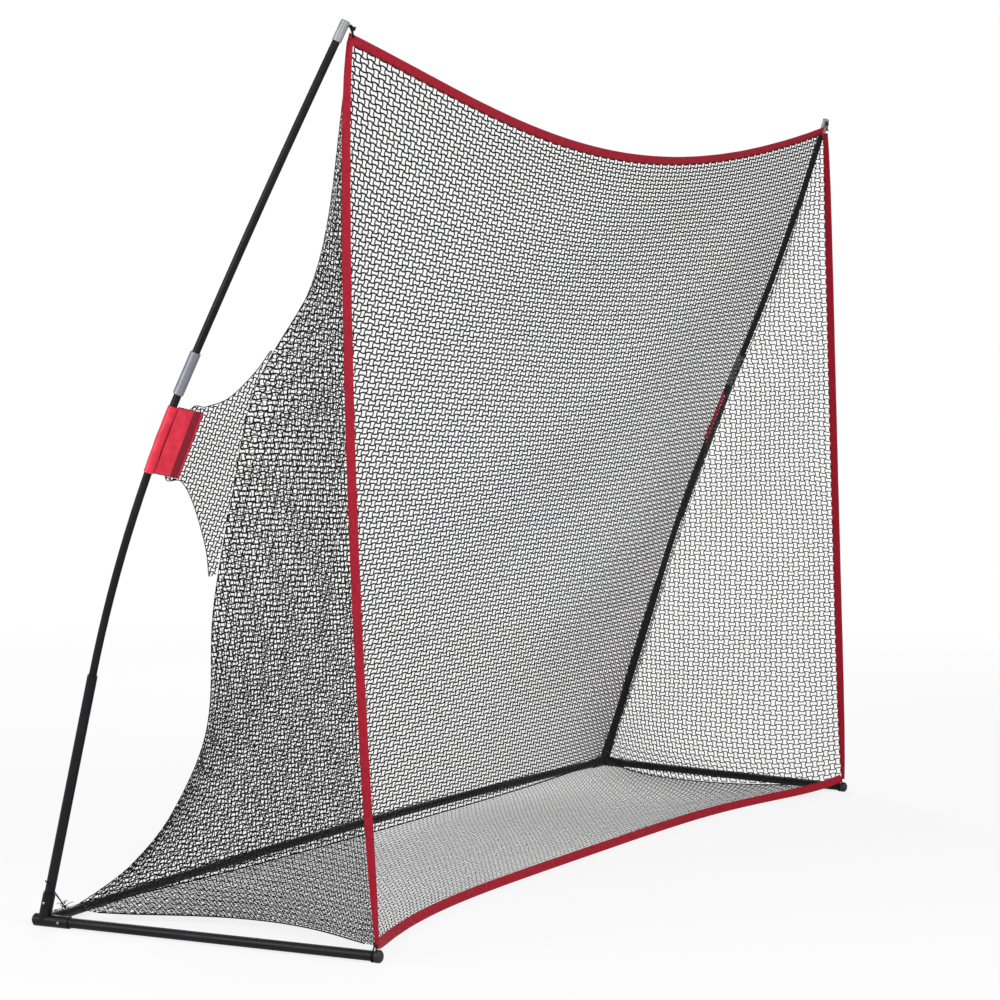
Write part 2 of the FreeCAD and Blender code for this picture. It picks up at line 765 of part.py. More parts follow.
def patch(bottom, top, left, right):
    """A function of two shares that fills the space inside four lines."""

    def point(across, up):
        sides = mix(left(up), right(up), across)
        ends = mix(bottom(across), top(across), up)
        low, high = mix(bottom(0), bottom(1), across), mix(top(0), top(1), across)
        return sides + ends - mix(low, high, up)

    return point


def drawn_tight(rows):
    """Evens out a grid between its fixed edges, as a net does when it is stretched."""
    for _ in range(TIGHTENING_ROUNDS):
        for i in range(1, len(rows) - 1):
            for j in range(1, len(rows[0]) - 1):
                around = rows[i - 1][j] + rows[i + 1][j] + rows[i][j - 1] + rows[i][j + 1]
                rows[i][j] = around / 4
    return rows


# ----------------------------------------------------------------------------------------------------
# Net: panels, hems, wraps, cords and ties
# ----------------------------------------------------------------------------------------------------


def back_panel():
    top_height = SEAM_TOP - 27
    fill = patch(
        rear_seam,
        lambda across: top_line(across, size("hem_width") + PANEL_GAP),
        lambda up: seam(-1, mix(SEAM_BOTTOM, top_height, up)),
        lambda up: seam(1, mix(SEAM_BOTTOM, top_height, up)),
    )
    inset = size("seam_gap") / size("rear_width")
    rows = [[fill(x, z) for x in steps(inset, 1 - inset, 17)] for z in steps(0.004, 1, 18)]
    shaped("back_net", sheet_of(drawn_tight(rows), Vector(0, size("net_thickness"), 0)))


def side_panels():
    for word, side in SIDES:
        fill = patch(
            lambda across: floor_seam(side, across),
            lambda across: mix(hem_line(side, HEM_TOP), seam(side, SEAM_TOP), across),
            lambda up: hem_line(side, mix(HEM_BOTTOM, HEM_TOP, up)),
            lambda up: seam(side, mix(SEAM_BOTTOM, SEAM_TOP, up)),
        )
        end = (SIDE_NET_TOP - SEAM_BOTTOM) / (SEAM_TOP - SEAM_BOTTOM)
        rows = []
        for up in steps(0.005, end, 18):
            width = (fill(1, up) - fill(0, up)).Length
            front = (hem_half(mix(SEAM_BOTTOM, SEAM_TOP, up)) + 2) / width
            rear = 1 - size("seam_gap") / width
            rows.append([fill(across, up) for across in steps(front, rear, 9)])
        shaped(f"side_net_{word}", sheet_of(drawn_tight(rows), Vector(side * size("net_thickness"), 0, 0)))


def floor_panel():
    first, last = 0.085, 0.975
    gap = Vector(size("seam_gap"), 0, 0)
    corner_front = floor_seam(1, first) - gap
    fill = patch(
        lambda across: bottom_line(mix(-corner_front.x, corner_front.x, across), 8) + Vector(0, 8, -2),
        lambda across: rear_seam(mix(0.015, 0.985, across)) - Vector(0, size("seam_gap") + 2, 0),
        lambda up: floor_seam(-1, mix(first, last, up)) + gap,
        lambda up: floor_seam(1, mix(first, last, up)) - gap,
    )
    rows = [[fill(x, y) for x in steps(0, 1, 17)] for y in steps(0, 1, 11)]
    shaped("floor_net", sheet_of(drawn_tight(rows), Vector(0, 0, size("net_thickness"))))


def hems():
    half = size("hem_thickness") / 2
    thick_y = Vector(0, 2 * half, 0)
    shares = steps(0.002, 0.998, 21)
    upper = [top_line(share, 0) - thick_y / 2 for share in shares]
    lower = [top_line(share, size("hem_width")) - thick_y / 2 for share in shares]
    shaped("top_hem", strip_of(upper, lower, thick_y))
    end = size("rear_width") / 2 - size("toe_in") - HEM_STOP
    stations = steps(-end, end, 25)
    low = [bottom_line(x, 0) for x in stations]
    high = [bottom_line(x, size("hem_width")) for x in stations]
    shaped("bottom_hem", strip_of(low, high, thick_y))
    for word, side in SIDES:
        heights = steps(HEM_BOTTOM, HEM_END, 21)
        outer = [hem_line(side, z) - Vector(0, hem_half(z), 0) for z in heights]
        inner = [hem_line(side, z) + Vector(0, hem_half(z), 0) for z in heights]
        shaped(f"side_hem_{word}", strip_of(outer, inner, Vector(side * 2 * half, 0, 0)))


def wing_plane(side):
    """(origin, up the pole, across towards the net, outward to the front) of a pole wrap and its wing."""
    height = size("wrap_height")
    up = (pole_point(side, height + 60) - pole_point(side, height - 60)).normalize()
    across = square_to(up, lean(side))
    front = up.cross(across)
    if front.y > 0:
        front = front * -1
    return pole_point(side, height), up, across, front


def on_wing(side, height, reach):
    """A point of a wing's plane, at a height and a distance from the pole."""
    origin, _, _, front = wing_plane(side)
    point = pole_point(side, height) + lean(side) * reach
    return point - front * (point - origin).dot(front)


def wings():
    thick = size("net_thickness")
    for word, side in SIDES:
        front = wing_plane(side)[3]
        middle = size("wrap_height")
        edge = [
            on_wing(side, z + math.copysign(WING_INSET, middle - z), reach + WING_INSET)
            for z, reach in WING_EDGE[1:-2]
        ]
        gap = size("seam_gap") + 4
        inner = [on_wing(side, z, between(SEAM_SPREAD, z) - gap) for z in steps(WING_TOP, WING_BOTTOM, 7)]
        outline = [Part.LineSegment(a, b).toShape() for a, b in zip(edge, edge[1:])]
        outline.append(Part.LineSegment(edge[-1], inner[0]).toShape())
        outline.append(spline(inner))
        outline.append(Part.LineSegment(inner[-1], edge[0]).toShape())
        face = Part.Face(Part.Wire(outline))
        face.translate(front * (-thick / 2))
        shaped(f"wing_net_{word}", face.extrude(front * thick))
        points = [on_wing(side, z, reach) for z, reach in WING_EDGE]
        cord(f"wing_edge_cord_{word}", points, size("edge_cord_diameter"))


def leaf(side, start, near, far):
    """A leaf of a wrap, from a distance off the pole to its full reach, between two depths from its plane."""
    origin, up, across, front = wing_plane(side)
    length = size("wrap_length")
    corners = [
        origin + across * b + up * a + front * near
        for a, b in (
            (-length / 2, start),
            (-length / 2, size("wrap_reach")),
            (length / 2, size("wrap_reach")),
            (length / 2, start),
        )
    ]
    return Part.Face(Part.makePolygon(corners + corners[:1])).extrude(front * (far - near))


def wraps():
    """A sleeve round each pole with its back leaf, and the hook-and-loop front flap as its own piece."""
    thick = size("wrap_thickness")
    length = size("wrap_length")
    bore = size("wrap_bore") / 2
    gap = 1.7  # from the wing's middle plane to a leaf
    hinge_reach = 14.5  # of the flap's rounded fold, which it turns on
    for word, side in SIDES:
        origin, up, across, front = wing_plane(side)
        rise = up.z * length / 2
        height = size("wrap_height")
        low, middle, high = (pole_point(side, z) for z in (height - rise, height, height + rise))
        path = Part.Wire(Part.Arc(low, middle, high).toShape())
        ring = swept(path, bore + thick).cut(swept(path, bore))
        shaped(f"pole_wrap_{word}", ring.fuse(leaf(side, bore + 0.7, -gap, -gap - thick)))
        fold_foot = origin + across * hinge_reach + front * (gap + thick / 2) - up * (length / 2)
        fold = Part.makeCylinder(thick / 2, length, fold_foot, up)
        shaped(f"wrap_flap_{word}", leaf(side, hinge_reach, gap, gap + thick).fuse(fold))


def seam_cords():
    for word, side in SIDES:
        points = [floor_seam(side, share) for share in steps(0.07, 0.94, 13)]
        cord(f"floor_edge_cord_{word}", points, size("cord_diameter"))
    points = [rear_seam(share) for share in steps(0.02, 0.98, 17)]
    cord("rear_edge_cord", points, size("cord_diameter"))


def tie(centre, axis, radius, apex):
    """A cord that comes down from a knot at the apex, round a bar and back up to it."""
    thick = size("tie_diameter")
    slack = 0.15  # between the cord and the bar
    towards = apex - centre
    distance = towards.Length
    towards.normalize()
    normal = square_to(towards, axis)
    tilt = abs(normal.dot(axis))
    ring = (radius + slack + thick / 2) / tilt
    across = normal.cross(towards)
    spread = math.acos(ring / distance)
    high = centre + (towards * math.cos(spread) + across * math.sin(spread)) * ring
    low = centre + (towards * math.cos(spread) - across * math.sin(spread)) * ring
    half = thick * 0.55
    start, end = apex + across * half, apex - across * half
    edges = [
        Part.LineSegment(start, high).toShape(),
        Part.Arc(high, centre - towards * ring, low).toShape(),
        Part.LineSegment(low, end).toShape(),
    ]
    loop = swept(Part.Wire(edges), thick / 2)
    knot = Part.makeCylinder(thick * 1.3, thick * 2, apex - towards * thick, towards)
    return loop.fuse(knot)


def ties():
    """The corner ties, and the two metal rings on the rear ones."""
    rings = []
    ring_radius, wire_radius = 6.5, 1.1
    tube = size("tube_diameter") / 2
    for word, side in SIDES:
        station = front_end(side) - side_direction(side) * 6
        shaped(f"front_tie_{word}", tie(station, side_direction(side), tube, station + Vector(0, -3, 26)))
        along = upright_direction(side)
        foot = corner(side) + along * (size("stub_length") + 14)
        apex = seam(side, SEAM_BOTTOM) + Vector(side * 14, 6, 10)
        shaped(f"rear_tie_{word}", tie(foot, along, tube, apex))
        at_tip = pole_arcs(side)[3]
        inward = hook_direction(side, at_tip)
        pin = hook_foot(side, at_tip) + inward * (size("tip_cap_diameter") / 2 + 7)
        knot = pin + Vector(-side * 3, -3, -20)
        shaped(f"top_tie_{word}", tie(pin, inward, size("hook_diameter") / 2, knot))
        strand = mix(foot, apex, 0.87)
        rings.append(Part.makeTorus(ring_radius, wire_radius, strand, (apex - foot).normalize()))
    shaped("rear_rings", Part.makeCompound(rings))


# ----------------------------------------------------------------------------------------------------
# Make, check and export
# ----------------------------------------------------------------------------------------------------

base_tubes()
cross_tubes()
poles()
spring_buttons()
back_panel()
side_panels()
floor_panel()
hems()
wings()
wraps()
seam_cords()
ties()
doc.recompute()

for made in doc.Objects:
    if "Invalid" in made.State or "Error" in made.State:
        raise ValueError(f"{made.Label} did not recompute: {made.State}")
for node in nodes:
    if node.Shape.isNull() or not node.Shape.isValid() or not node.Shape.Solids:
        raise ValueError(f"{node.Label} has no valid solid")
    if node.Shape.Volume <= 0:
        raise ValueError(f"{node.Label} is inside out")
    node.Shape.exportStep(os.path.join("parts", f"{node.Label}.step"))
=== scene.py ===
"""Visual model of a golf hitting net: netting, webbing, wraps, cords and finishes on its frame."""

import json
import math

import bpy
import numpy as np
from mathutils import Matrix, Vector


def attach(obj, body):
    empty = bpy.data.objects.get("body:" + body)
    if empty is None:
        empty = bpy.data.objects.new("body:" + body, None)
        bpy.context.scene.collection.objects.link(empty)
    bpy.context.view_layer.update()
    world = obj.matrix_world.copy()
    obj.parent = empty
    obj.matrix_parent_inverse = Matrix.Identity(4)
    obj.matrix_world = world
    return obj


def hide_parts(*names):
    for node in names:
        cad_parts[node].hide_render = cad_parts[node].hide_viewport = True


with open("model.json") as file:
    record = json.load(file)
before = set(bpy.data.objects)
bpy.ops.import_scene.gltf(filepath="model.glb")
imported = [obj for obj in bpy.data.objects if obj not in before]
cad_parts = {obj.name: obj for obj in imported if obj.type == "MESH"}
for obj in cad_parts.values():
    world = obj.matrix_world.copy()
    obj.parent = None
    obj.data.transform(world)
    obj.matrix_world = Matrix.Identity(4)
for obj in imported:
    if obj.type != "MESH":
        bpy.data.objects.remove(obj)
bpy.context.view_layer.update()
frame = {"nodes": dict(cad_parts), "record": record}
nodes = frame["nodes"]
SIDES = (("left", -1), ("right", 1))
MM = 0.001
# Seeds of the random draws; pieces with a left and a right add -1 or 1
BACK_SEED, FLOOR_SEED, SIDE_SEED, SLEEVE_SEED, COVER_SEED, ENDS_SEED = 3, 5, 11, 4, 8, 21

# ---- Camera, lights and floor ----


def add_camera(place, yaw, pitch, roll, lens):
    """Yaw is from +Y towards +X and pitch above the horizon, in degrees."""
    yaw, pitch, roll = (math.radians(angle) for angle in (yaw, pitch, roll))
    ahead = Vector((math.sin(yaw) * math.cos(pitch), math.cos(yaw) * math.cos(pitch), math.sin(pitch)))
    level = Vector((math.cos(yaw), -math.sin(yaw), 0))
    above = level.cross(ahead)
    right = level * math.cos(roll) + above * math.sin(roll)
    up = above * math.cos(roll) - level * math.sin(roll)
    data = bpy.data.cameras.new("camera")
    data.lens = lens
    data.sensor_width = 36
    camera = bpy.data.objects.new("camera", data)
    turn = Matrix((right, up, -ahead)).transposed().to_4x4()
    camera.matrix_world = Matrix.Translation(place) @ turn
    bpy.context.scene.collection.objects.link(camera)
    bpy.context.scene.camera = camera


def add_softbox(name, place, target, width, height, power):
    data = bpy.data.lights.new(name, "AREA")
    data.shape = "RECTANGLE"
    data.size, data.size_y = width, height
    data.energy = power
    lamp = bpy.data.objects.new(name, data)
    lamp.location = place
    lamp.rotation_euler = (Vector(target) - Vector(place)).to_track_quat("-Z", "Y").to_euler()
    bpy.context.scene.collection.objects.link(lamp)


# Radiance of the pale surroundings as they are seen, and as they light the net
SEEN, LIGHTING = 1.0, 0.5
# The floor's radius, and where it starts and ends melting into the surroundings, in metres
FLOOR_REACH, FLOOR_NEAR, FLOOR_FAR = 60, 2.6, 7.0
FLOOR_SIDES = 64
FLOOR_GLOW = 0.8  # share of the floor's brightness near the net that doesn't take shadows

bpy.context.scene.view_settings.view_transform = "Standard"

add_camera((-6.742, -3.768, 1.429), 60.82, -3.16, 0.42, 96.98)
add_softbox("key", (-3.4, -4.6, 4.2), (0, 0, 1.0), 3.2, 2.4, 230)
add_softbox("fill", (-5.0, 1.5, 2.2), (-0.6, 0, 1.0), 2.4, 2.4, 70)
add_softbox("rim", (3.6, 3.4, 3.6), (0, 0, 1.2), 2.4, 2.4, 110)


def seen_or_lighting(tree):
    """A strength that is SEEN where the surroundings show and LIGHTING where they light something."""
    path = tree.nodes.new("ShaderNodeLightPath")
    made = tree.nodes.new("ShaderNodeMapRange")
    made.inputs["To Min"].default_value = LIGHTING
    made.inputs["To Max"].default_value = SEEN
    tree.links.new(path.outputs["Is Camera Ray"], made.inputs["Value"])
    return made.outputs["Result"]


world = bpy.data.worlds.new("studio")
world.use_nodes = True
sky = world.node_tree.nodes["Background"]
sky.inputs["Color"].default_value = (1, 1, 1, 1)
world.node_tree.links.new(seen_or_lighting(world.node_tree), sky.inputs["Strength"])
bpy.context.scene.world = world

# ---- Materials ----


NOISE_LOW, NOISE_HIGH = 0.3, 0.7  # the range that most noise stays in
DULL = {"Specular_Ior_Level": 0.25}
FIBRE = {"Specular_Ior_Level": 0.2}
# Pitch of the weave lengthwise and crosswise, in metres
WEBBING_PITCH = (0.0026, 0.0021)
CLOTH_PITCH = (0.0016, 0.0016)


class Shader:
    """A Principled material and the few kinds of node that the finishes are made from."""

    def __init__(self, name, **sockets):
        self.material = bpy.data.materials.new(name)
        self.material.use_nodes = True
        self.tree = self.material.node_tree
        self.main = self.tree.nodes["Principled BSDF"]
        for key, value in sockets.items():
            self.main.inputs[key.replace("_", " ").title().replace("Ior", "IOR")].default_value = value

    def add(self, kind, links=(), **inputs):
        made = self.tree.nodes.new(kind)
        for key, value in inputs.items():
            if hasattr(made, key):
                setattr(made, key, value)
            else:
                made.inputs[key.replace("_", " ").title()].default_value = value
        for socket, source in links:
            self.tree.links.new(source, made.inputs[socket])
        return made

    def place(self, stretch=(1, 1, 1)):
        """Object coordinates in metres, stretched."""
        where = self.add("ShaderNodeTexCoord").outputs["Object"]
        return self.add("ShaderNodeMapping", [("Vector", where)], Scale=stretch).outputs["Vector"]

    def along(self):
        """Lengthwise and crosswise distance on a strip, in metres, as two sockets."""
        where = self.add("ShaderNodeUVMap", uv_map="strip").outputs["UV"]
        split = self.add("ShaderNodeSeparateXYZ", [("Vector", where)])
        return split.outputs["X"], split.outputs["Y"]

    def noise(self, scale, detail=3.0, where=None):
        source = where if where is not None else self.place()
        made = self.add("ShaderNodeTexNoise", [("Vector", source)], Scale=scale, Detail=detail)
        return made.outputs["Fac"]

    def mixed(self, first, share, second, other):
        """Two heights, each times its share."""
        parts = ((first, share), (second, other))
        return self.maths("ADD", *(self.maths("MULTIPLY", *part) for part in parts))

    def maths(self, operation, first, second):
        made = self.add("ShaderNodeMath", operation=operation)
        for socket, value in zip(made.inputs, (first, second)):
            if isinstance(value, (int, float)):
                socket.default_value = value
            else:
                self.tree.links.new(value, socket)
        return made.outputs["Value"]

    def ramp(self, source, *stops):
        made = self.add("ShaderNodeValToRGB", [("Fac", source)])
        ramp = made.color_ramp
        while len(ramp.elements) < len(stops):
            ramp.elements.new(0.5)
        for element, (at, colour) in zip(ramp.elements, stops):
            element.position = at
            element.color = (*colour, 1)
        return made.outputs["Color"]

    def colour(self, socket):
        self.tree.links.new(socket, self.main.inputs["Base Color"])

    def two_tones(self, source, dark, light):
        self.colour(self.ramp(source, (NOISE_LOW, dark), (NOISE_HIGH, light)))

    def rough(self, source, low, high):
        ends = {"From_Min": NOISE_LOW, "From_Max": NOISE_HIGH, "To_Min": low, "To_Max": high}
        made = self.add("ShaderNodeMapRange", [("Value", source)], **ends)
        self.tree.links.new(made.outputs["Result"], self.main.inputs["Roughness"])

    def bump(self, height, strength, distance):
        """Adds a bump on top of those before it."""
        made = self.add("ShaderNodeBump", [("Height", height)], Strength=strength, Distance=distance)
        normal = self.main.inputs["Normal"]
        if normal.links:
            self.tree.links.new(normal.links[0].from_socket, made.inputs["Normal"])
        self.tree.links.new(made.outputs["Normal"], normal)


def painted(name, dark, light, low, high, grain=700, **sockets):
    """Paint, plastic or bare metal: colour patches, a fine grain and uneven gloss."""
    patches = 9
    s = Shader(name, **sockets)
    s.two_tones(s.noise(patches), dark, light)
    s.rough(s.noise(patches * 4, 4), low, high)
    s.bump(s.noise(grain, 2), 0.25, 0.0002)
    return s.material


def weave(s, pitches, strength, distance):
    """A plain weave on a strip's own coordinates; returns its height."""
    waves = [
        s.maths("SINE", s.maths("MULTIPLY", where, 2 * math.pi / pitch), 0)
        for where, pitch in zip(s.along(), pitches)
    ]
    height = s.maths("MULTIPLY_ADD", s.maths("MULTIPLY", *waves), 0.5)
    s.bump(height, strength, distance)
    return height


def webbing():
    s = Shader("red_webbing", **FIBRE)
    height = weave(s, WEBBING_PITCH, 0.55, 0.0004)
    # The colour is random mottling plus painted shade: the weave's low points between the threads are
    # darker.
    mottled_and_weave_shade = s.mixed(s.noise(160, 4), 0.75, height, 0.35)
    dark, main, light = (0.22, 0.003, 0.012), (0.40, 0.007, 0.025), (0.48, 0.012, 0.036)
    s.colour(s.ramp(mottled_and_weave_shade, (0.25, dark), (0.62, main), (0.85, light)))
    s.rough(s.noise(60), 0.5, 0.72)
    return s.material


def thread():
    s = Shader("red_thread", Roughness=0.5)
    s.two_tones(s.noise(900), (0.20, 0.004, 0.012), (0.36, 0.01, 0.03))
    s.bump(s.noise(2600), 0.5, 0.0002)
    return s.material


def coated_cloth():
    s = Shader("red_vinyl", Coat_Weight=0.25, Coat_Roughness=0.22)
    height = weave(s, CLOTH_PITCH, 0.16, 0.0002)
    # The colour is random mottling plus a little painted shade: the weave's low points are slightly
    # darker.
    mottled_and_weave_shade = s.mixed(s.noise(45, 4), 0.85, height, 0.15)
    s.two_tones(mottled_and_weave_shade, (0.66, 0.012, 0.035), (0.92, 0.03, 0.08))
    s.rough(s.noise(30), 0.28, 0.42)
    s.bump(s.noise(55, 3), 0.5, 0.0012)
    return s.material


def hook_strip():
    s = Shader("hook_and_loop", Roughness=0.9)
    s.two_tones(s.noise(700), (0.16, 0.004, 0.014), (0.34, 0.010, 0.035))
    s.rough(s.noise(400), 0.8, 0.95)
    s.bump(s.noise(1500, 2), 0.9, 0.0006)
    return s.material


def corded(name, dark, light, low=0.55, high=0.8):
    """Twisted or extruded fibre."""
    s = Shader(name, **FIBRE)
    s.two_tones(s.noise(260, 3), dark, light)
    s.rough(s.noise(90), low, high)
    s.bump(s.noise(2400, 2), 0.4, 0.0002)
    return s.material


def drawn(name, dark, light, low, high, **sockets):
    """Metal or pole with fine lengthwise marks, which run nearly upright."""
    s = Shader(name, **sockets)
    s.two_tones(s.noise(14), dark, light)
    streaks = s.noise(1, 3, s.place((520, 520, 24)))
    s.rough(streaks, low, high)
    s.bump(streaks, 0.3, 0.0001)
    return s.material


HARD = (  # (name, kind, dark and light colour, least and greatest roughness, the rest)
    ("black_steel", painted, (0.005, 0.005, 0.006), (0.011, 0.011, 0.013), 0.3, 0.44, DULL),
    ("black_fibreglass", drawn, (0.004, 0.004, 0.005), (0.01, 0.01, 0.011), 0.3, 0.46, DULL),
    ("black_plastic", painted, (0.008, 0.008, 0.009), (0.018, 0.018, 0.02), 0.5, 0.66, {"grain": 1100}),
    ("grey_steel", drawn, (0.22, 0.23, 0.27), (0.32, 0.33, 0.38), 0.34, 0.5, {"Metallic": 0.55}),
    ("silver_aluminium", drawn, (0.34, 0.35, 0.37), (0.52, 0.53, 0.55), 0.26, 0.42, {"Metallic": 0.8}),
    ("spring_steel", drawn, (0.42, 0.42, 0.43), (0.6, 0.6, 0.6), 0.22, 0.36, {"Metallic": 1.0}),
    ("ring_chrome", painted, (0.62, 0.62, 0.63), (0.8, 0.8, 0.8), 0.1, 0.2, {"Metallic": 1.0}),
)
FINISHES = {name: kind(name, *look, **rest) for name, kind, *look, rest in HARD}
FINISHES |= {
    "black_net": corded("black_net", (0.003, 0.003, 0.004), (0.008, 0.008, 0.009), 0.5, 0.7),
    "red_webbing": webbing(),
    "red_vinyl": coated_cloth(),
    "black_cord": corded("black_cord", (0.004, 0.004, 0.005), (0.014, 0.014, 0.016)),
}
THREAD, HOOK_STRIP = thread(), hook_strip()

for part in frame["record"]["subparts"]:
    surface = nodes[part["node"]].data
    surface.materials.clear()
    surface.materials.append(FINISHES[part["material_slot"]])


def add_floor():
    """A pale floor that melts into the surroundings a few metres away."""
    data = bpy.data.meshes.new("floor")
    turns = [2 * math.pi * i / FLOOR_SIDES for i in range(FLOOR_SIDES)]
    rim = [(FLOOR_REACH * math.cos(a), FLOOR_REACH * math.sin(a), 0) for a in turns]
    data.from_pydata(rim, [], [list(range(FLOOR_SIDES))])
    floor = bpy.data.objects.new("floor", data)
    bpy.context.scene.collection.objects.link(floor)
    s = Shader("pale_floor", Base_Color=(0.86, 0.86, 0.86, 1), Roughness=0.85)
    where = s.add("ShaderNodeTexCoord").outputs["Object"]
    away = s.add("ShaderNodeVectorMath", [(0, where)], operation="LENGTH").outputs["Value"]
    ends = {"From_Min": FLOOR_NEAR, "From_Max": FLOOR_FAR, "To_Min": FLOOR_GLOW}
    share = s.add("ShaderNodeMapRange", [("Value", away)], interpolation_type="SMOOTHSTEP", **ends)
    glow = s.add("ShaderNodeEmission", [("Strength", seen_or_lighting(s.tree))])
    inputs = [(0, share.outputs["Result"]), (1, s.main.outputs[0]), (2, glow.outputs[0])]
    blend = s.add("ShaderNodeMixShader", inputs)
    s.tree.links.new(blend.outputs[0], s.tree.nodes["Material Output"].inputs["Surface"])
    data.materials.append(s.material)


add_floor()

# ---- Lines of the frame and net, in millimetres ----

# The base: half width at the rear, depth, how far each side tube turns in, where the front is,
# the tubes' height and how far a tube starts behind its front cap
REAR_HALF, DEPTH, TOE_IN, FRONT, AXIS, TUBE_END = 1525, 925, 83, -496, 15, 10
FRONT_HALF = REAR_HALF - TOE_IN
TUBE_RADIUS = 12.5
# The poles: how far an upright reaches out and forward, its top, the splice and the tip
UPRIGHT_REACH, UPRIGHT_TOP = (40, 182), 640
SPLICE, TIP = (1566, 464, 1372), (1452, 108, 2170)
# The net's seams and hems
SEAM_BOTTOM, SEAM_TOP = 35, 2162
HEM_BOTTOM, HEM_TOP, HEM_WIDTH = 47, 2162, 25
HEM_TOP_HALF, HEM_TOP_BACK, HEM_FORWARD = 1448, 100, 3
HEM_BOW = {-1: 26, 1: 2}
HEM_OUT = 1.5  # how far the side hems lie outside the lines of the frame
HEM_GATHERED = ((0.6, 120), (0.4, 150))  # (share of the width, how fast it fades) at bottom and top
HEM_DRAWN = (17, 3, 110)  # how far in and forward a hem's top is drawn, and how fast it fades
TOP_SAG, TOP_SAG_BACK, TOP_SKEW, TOP_TAPER = 164, 76, 0.28, 0.15
BOTTOM_BOW, BOTTOM_BACK, BOTTOM_LIFT, BOTTOM_END_LIFT = 190, 6, 1.5, 31
BOTTOM_SLANT = (0.35, 0.93)  # how the bottom hem stands: back and up
FLOOR_EDGE_BOW, FLOOR_EDGE_DIP, FLOOR_EDGE_FRONT = 185, 18, 41
REAR_EDGE_BOW, REAR_EDGE_RISE = 95, 8
LEAN = (0.88, 0.475)  # direction from a pole to the net: inward and forward
WRAP_HEIGHT, WRAP_LENGTH, WRAP_REACH = 1216, 172, 84
WING_TOP, WING_BOTTOM = 1430, 865
SEAM_SPREAD = (  # (height, how far the side seam hangs in from the pole)
    (35, 65), (75, 130), (135, 207), (255, 289), (475, 341), (785, 287),
    (1065, 247), (1345, 197), (1605, 228), (1875, 156), (2162, 24),
)
WING_EDGE = (  # (height, distance from the pole) of a wing's free edge
    (870, 255), (947, 220), (1053, 151), (1112, 96), (1128, 48),
    (1280, 48), (1292, 88), (1313, 139), (1374, 180), (1425, 196),
)
DOWN_BACK = np.array((0, 0.29, -0.957))


def vec(x, y, z):
    return np.array((x, y, z), float)


def unit(v):
    return v / np.linalg.norm(v, axis=-1, keepdims=True)


def mix(a, b, share):
    return a + (b - a) * share


class Arc:
    """The arc that leaves start along a direction and reaches end."""

    def __init__(self, start, direction, end):
        chord = end - start
        self.direction = direction
        self.normal = unit(chord - direction * chord.dot(direction))
        self.radius = chord.dot(chord) / (2 * chord.dot(self.normal))
        self.centre = start + self.normal * self.radius
        self.turn = math.acos((start - self.centre).dot(end - self.centre) / self.radius**2)
        self.at_end = direction * math.cos(self.turn) + self.normal * math.sin(self.turn)

    def at(self, share):
        angle = self.turn * share
        away = self.direction * math.sin(angle) - self.normal * math.cos(angle)
        return self.centre + self.radius * away


def corner(side):
    return vec(side * REAR_HALF, FRONT + DEPTH, AXIS)


def front_end(side):
    return vec(side * FRONT_HALF, FRONT + TUBE_END, AXIS)


def tip(side):
    return vec(side * TIP[0], FRONT + TIP[1], TIP[2])


POLES = {}
for _, side in SIDES:
    reach = vec(side * UPRIGHT_REACH[0], -UPRIGHT_REACH[1], UPRIGHT_TOP - AXIS)
    middle = vec(side * SPLICE[0], FRONT + SPLICE[1], SPLICE[2])
    lower = Arc(corner(side) + reach, unit(reach), middle)
    POLES[side] = (reach, lower, Arc(middle, lower.at_end, tip(side)))


def pole_point(side, height):
    reach, lower, upper = POLES[side]
    if height <= UPRIGHT_TOP:
        return corner(side) + reach * (height - AXIS) / (UPRIGHT_TOP - AXIS)
    if height >= TIP[2]:
        return tip(side) + upper.at_end * ((height - TIP[2]) / upper.at_end[2])
    arc = lower if height <= SPLICE[2] else upper
    low, high = 0.0, 1.0
    for _ in range(30):
        half = (low + high) / 2
        if arc.at(half)[2] < height:
            low = half
        else:
            high = half
    return arc.at(low)


def lean(side):
    return vec(-side * LEAN[0], -LEAN[1], 0)


def between(table, key):
    """Smooth value of a table of (key, value) pairs."""
    last = len(table) - 2
    i = 0
    while i < last and key > table[i + 1][0]:
        i += 1

    def slope(j):
        low, high = max(j - 1, 0), min(j + 1, len(table) - 1)
        return (table[high][1] - table[low][1]) / (table[high][0] - table[low][0])

    (start, first), (end, second) = table[i], table[i + 1]
    span = end - start
    share = (key - start) / span
    rise = share**2 * (3 - 2 * share)
    ease_out = share * (1 - share) ** 2 * span * slope(i)
    ease_in = -(share**2) * (1 - share) * span * slope(i + 1)
    return mix(first, second, rise) + ease_out + ease_in


def seam(side, height):
    return pole_point(side, height) + lean(side) * between(SEAM_SPREAD, height)


def hem_line(side, height):
    share = (height - HEM_BOTTOM) / (HEM_TOP - HEM_BOTTOM)
    bottom = front_end(side) + vec(0, -HEM_FORWARD, HEM_BOTTOM - AXIS)
    top = vec(side * HEM_TOP_HALF, FRONT + HEM_TOP_BACK, HEM_TOP)
    return mix(bottom, top, share) + vec(0, 4 * HEM_BOW[side] * share * (1 - share), 0)


def hem_half(height):
    (low, low_fade), (high, high_fade) = HEM_GATHERED
    gathered = low * math.exp((HEM_BOTTOM - height) / low_fade)
    gathered = gathered + high * math.exp((height - HEM_TOP) / high_fade)
    return HEM_WIDTH / 2 * (1 - gathered)


def drawn_in(side, height):
    """How the upper end of a side hem is drawn in to the corner of the top hem."""
    inward, forward, fade = HEM_DRAWN
    return vec(-side * inward, -forward, 0) * math.exp((height - HEM_TOP) / fade)


def floor_seam(side, share):
    front = front_end(side) + vec(0, 0, FLOOR_EDGE_FRONT - AXIS)
    line = mix(front, seam(side, SEAM_BOTTOM), share)
    arch = 4 * share * (1 - share)
    dip = -FLOOR_EDGE_DIP * (1 - (2 * share - 1) ** 6)
    return line + vec(-side * FLOOR_EDGE_BOW * arch, 0, dip)


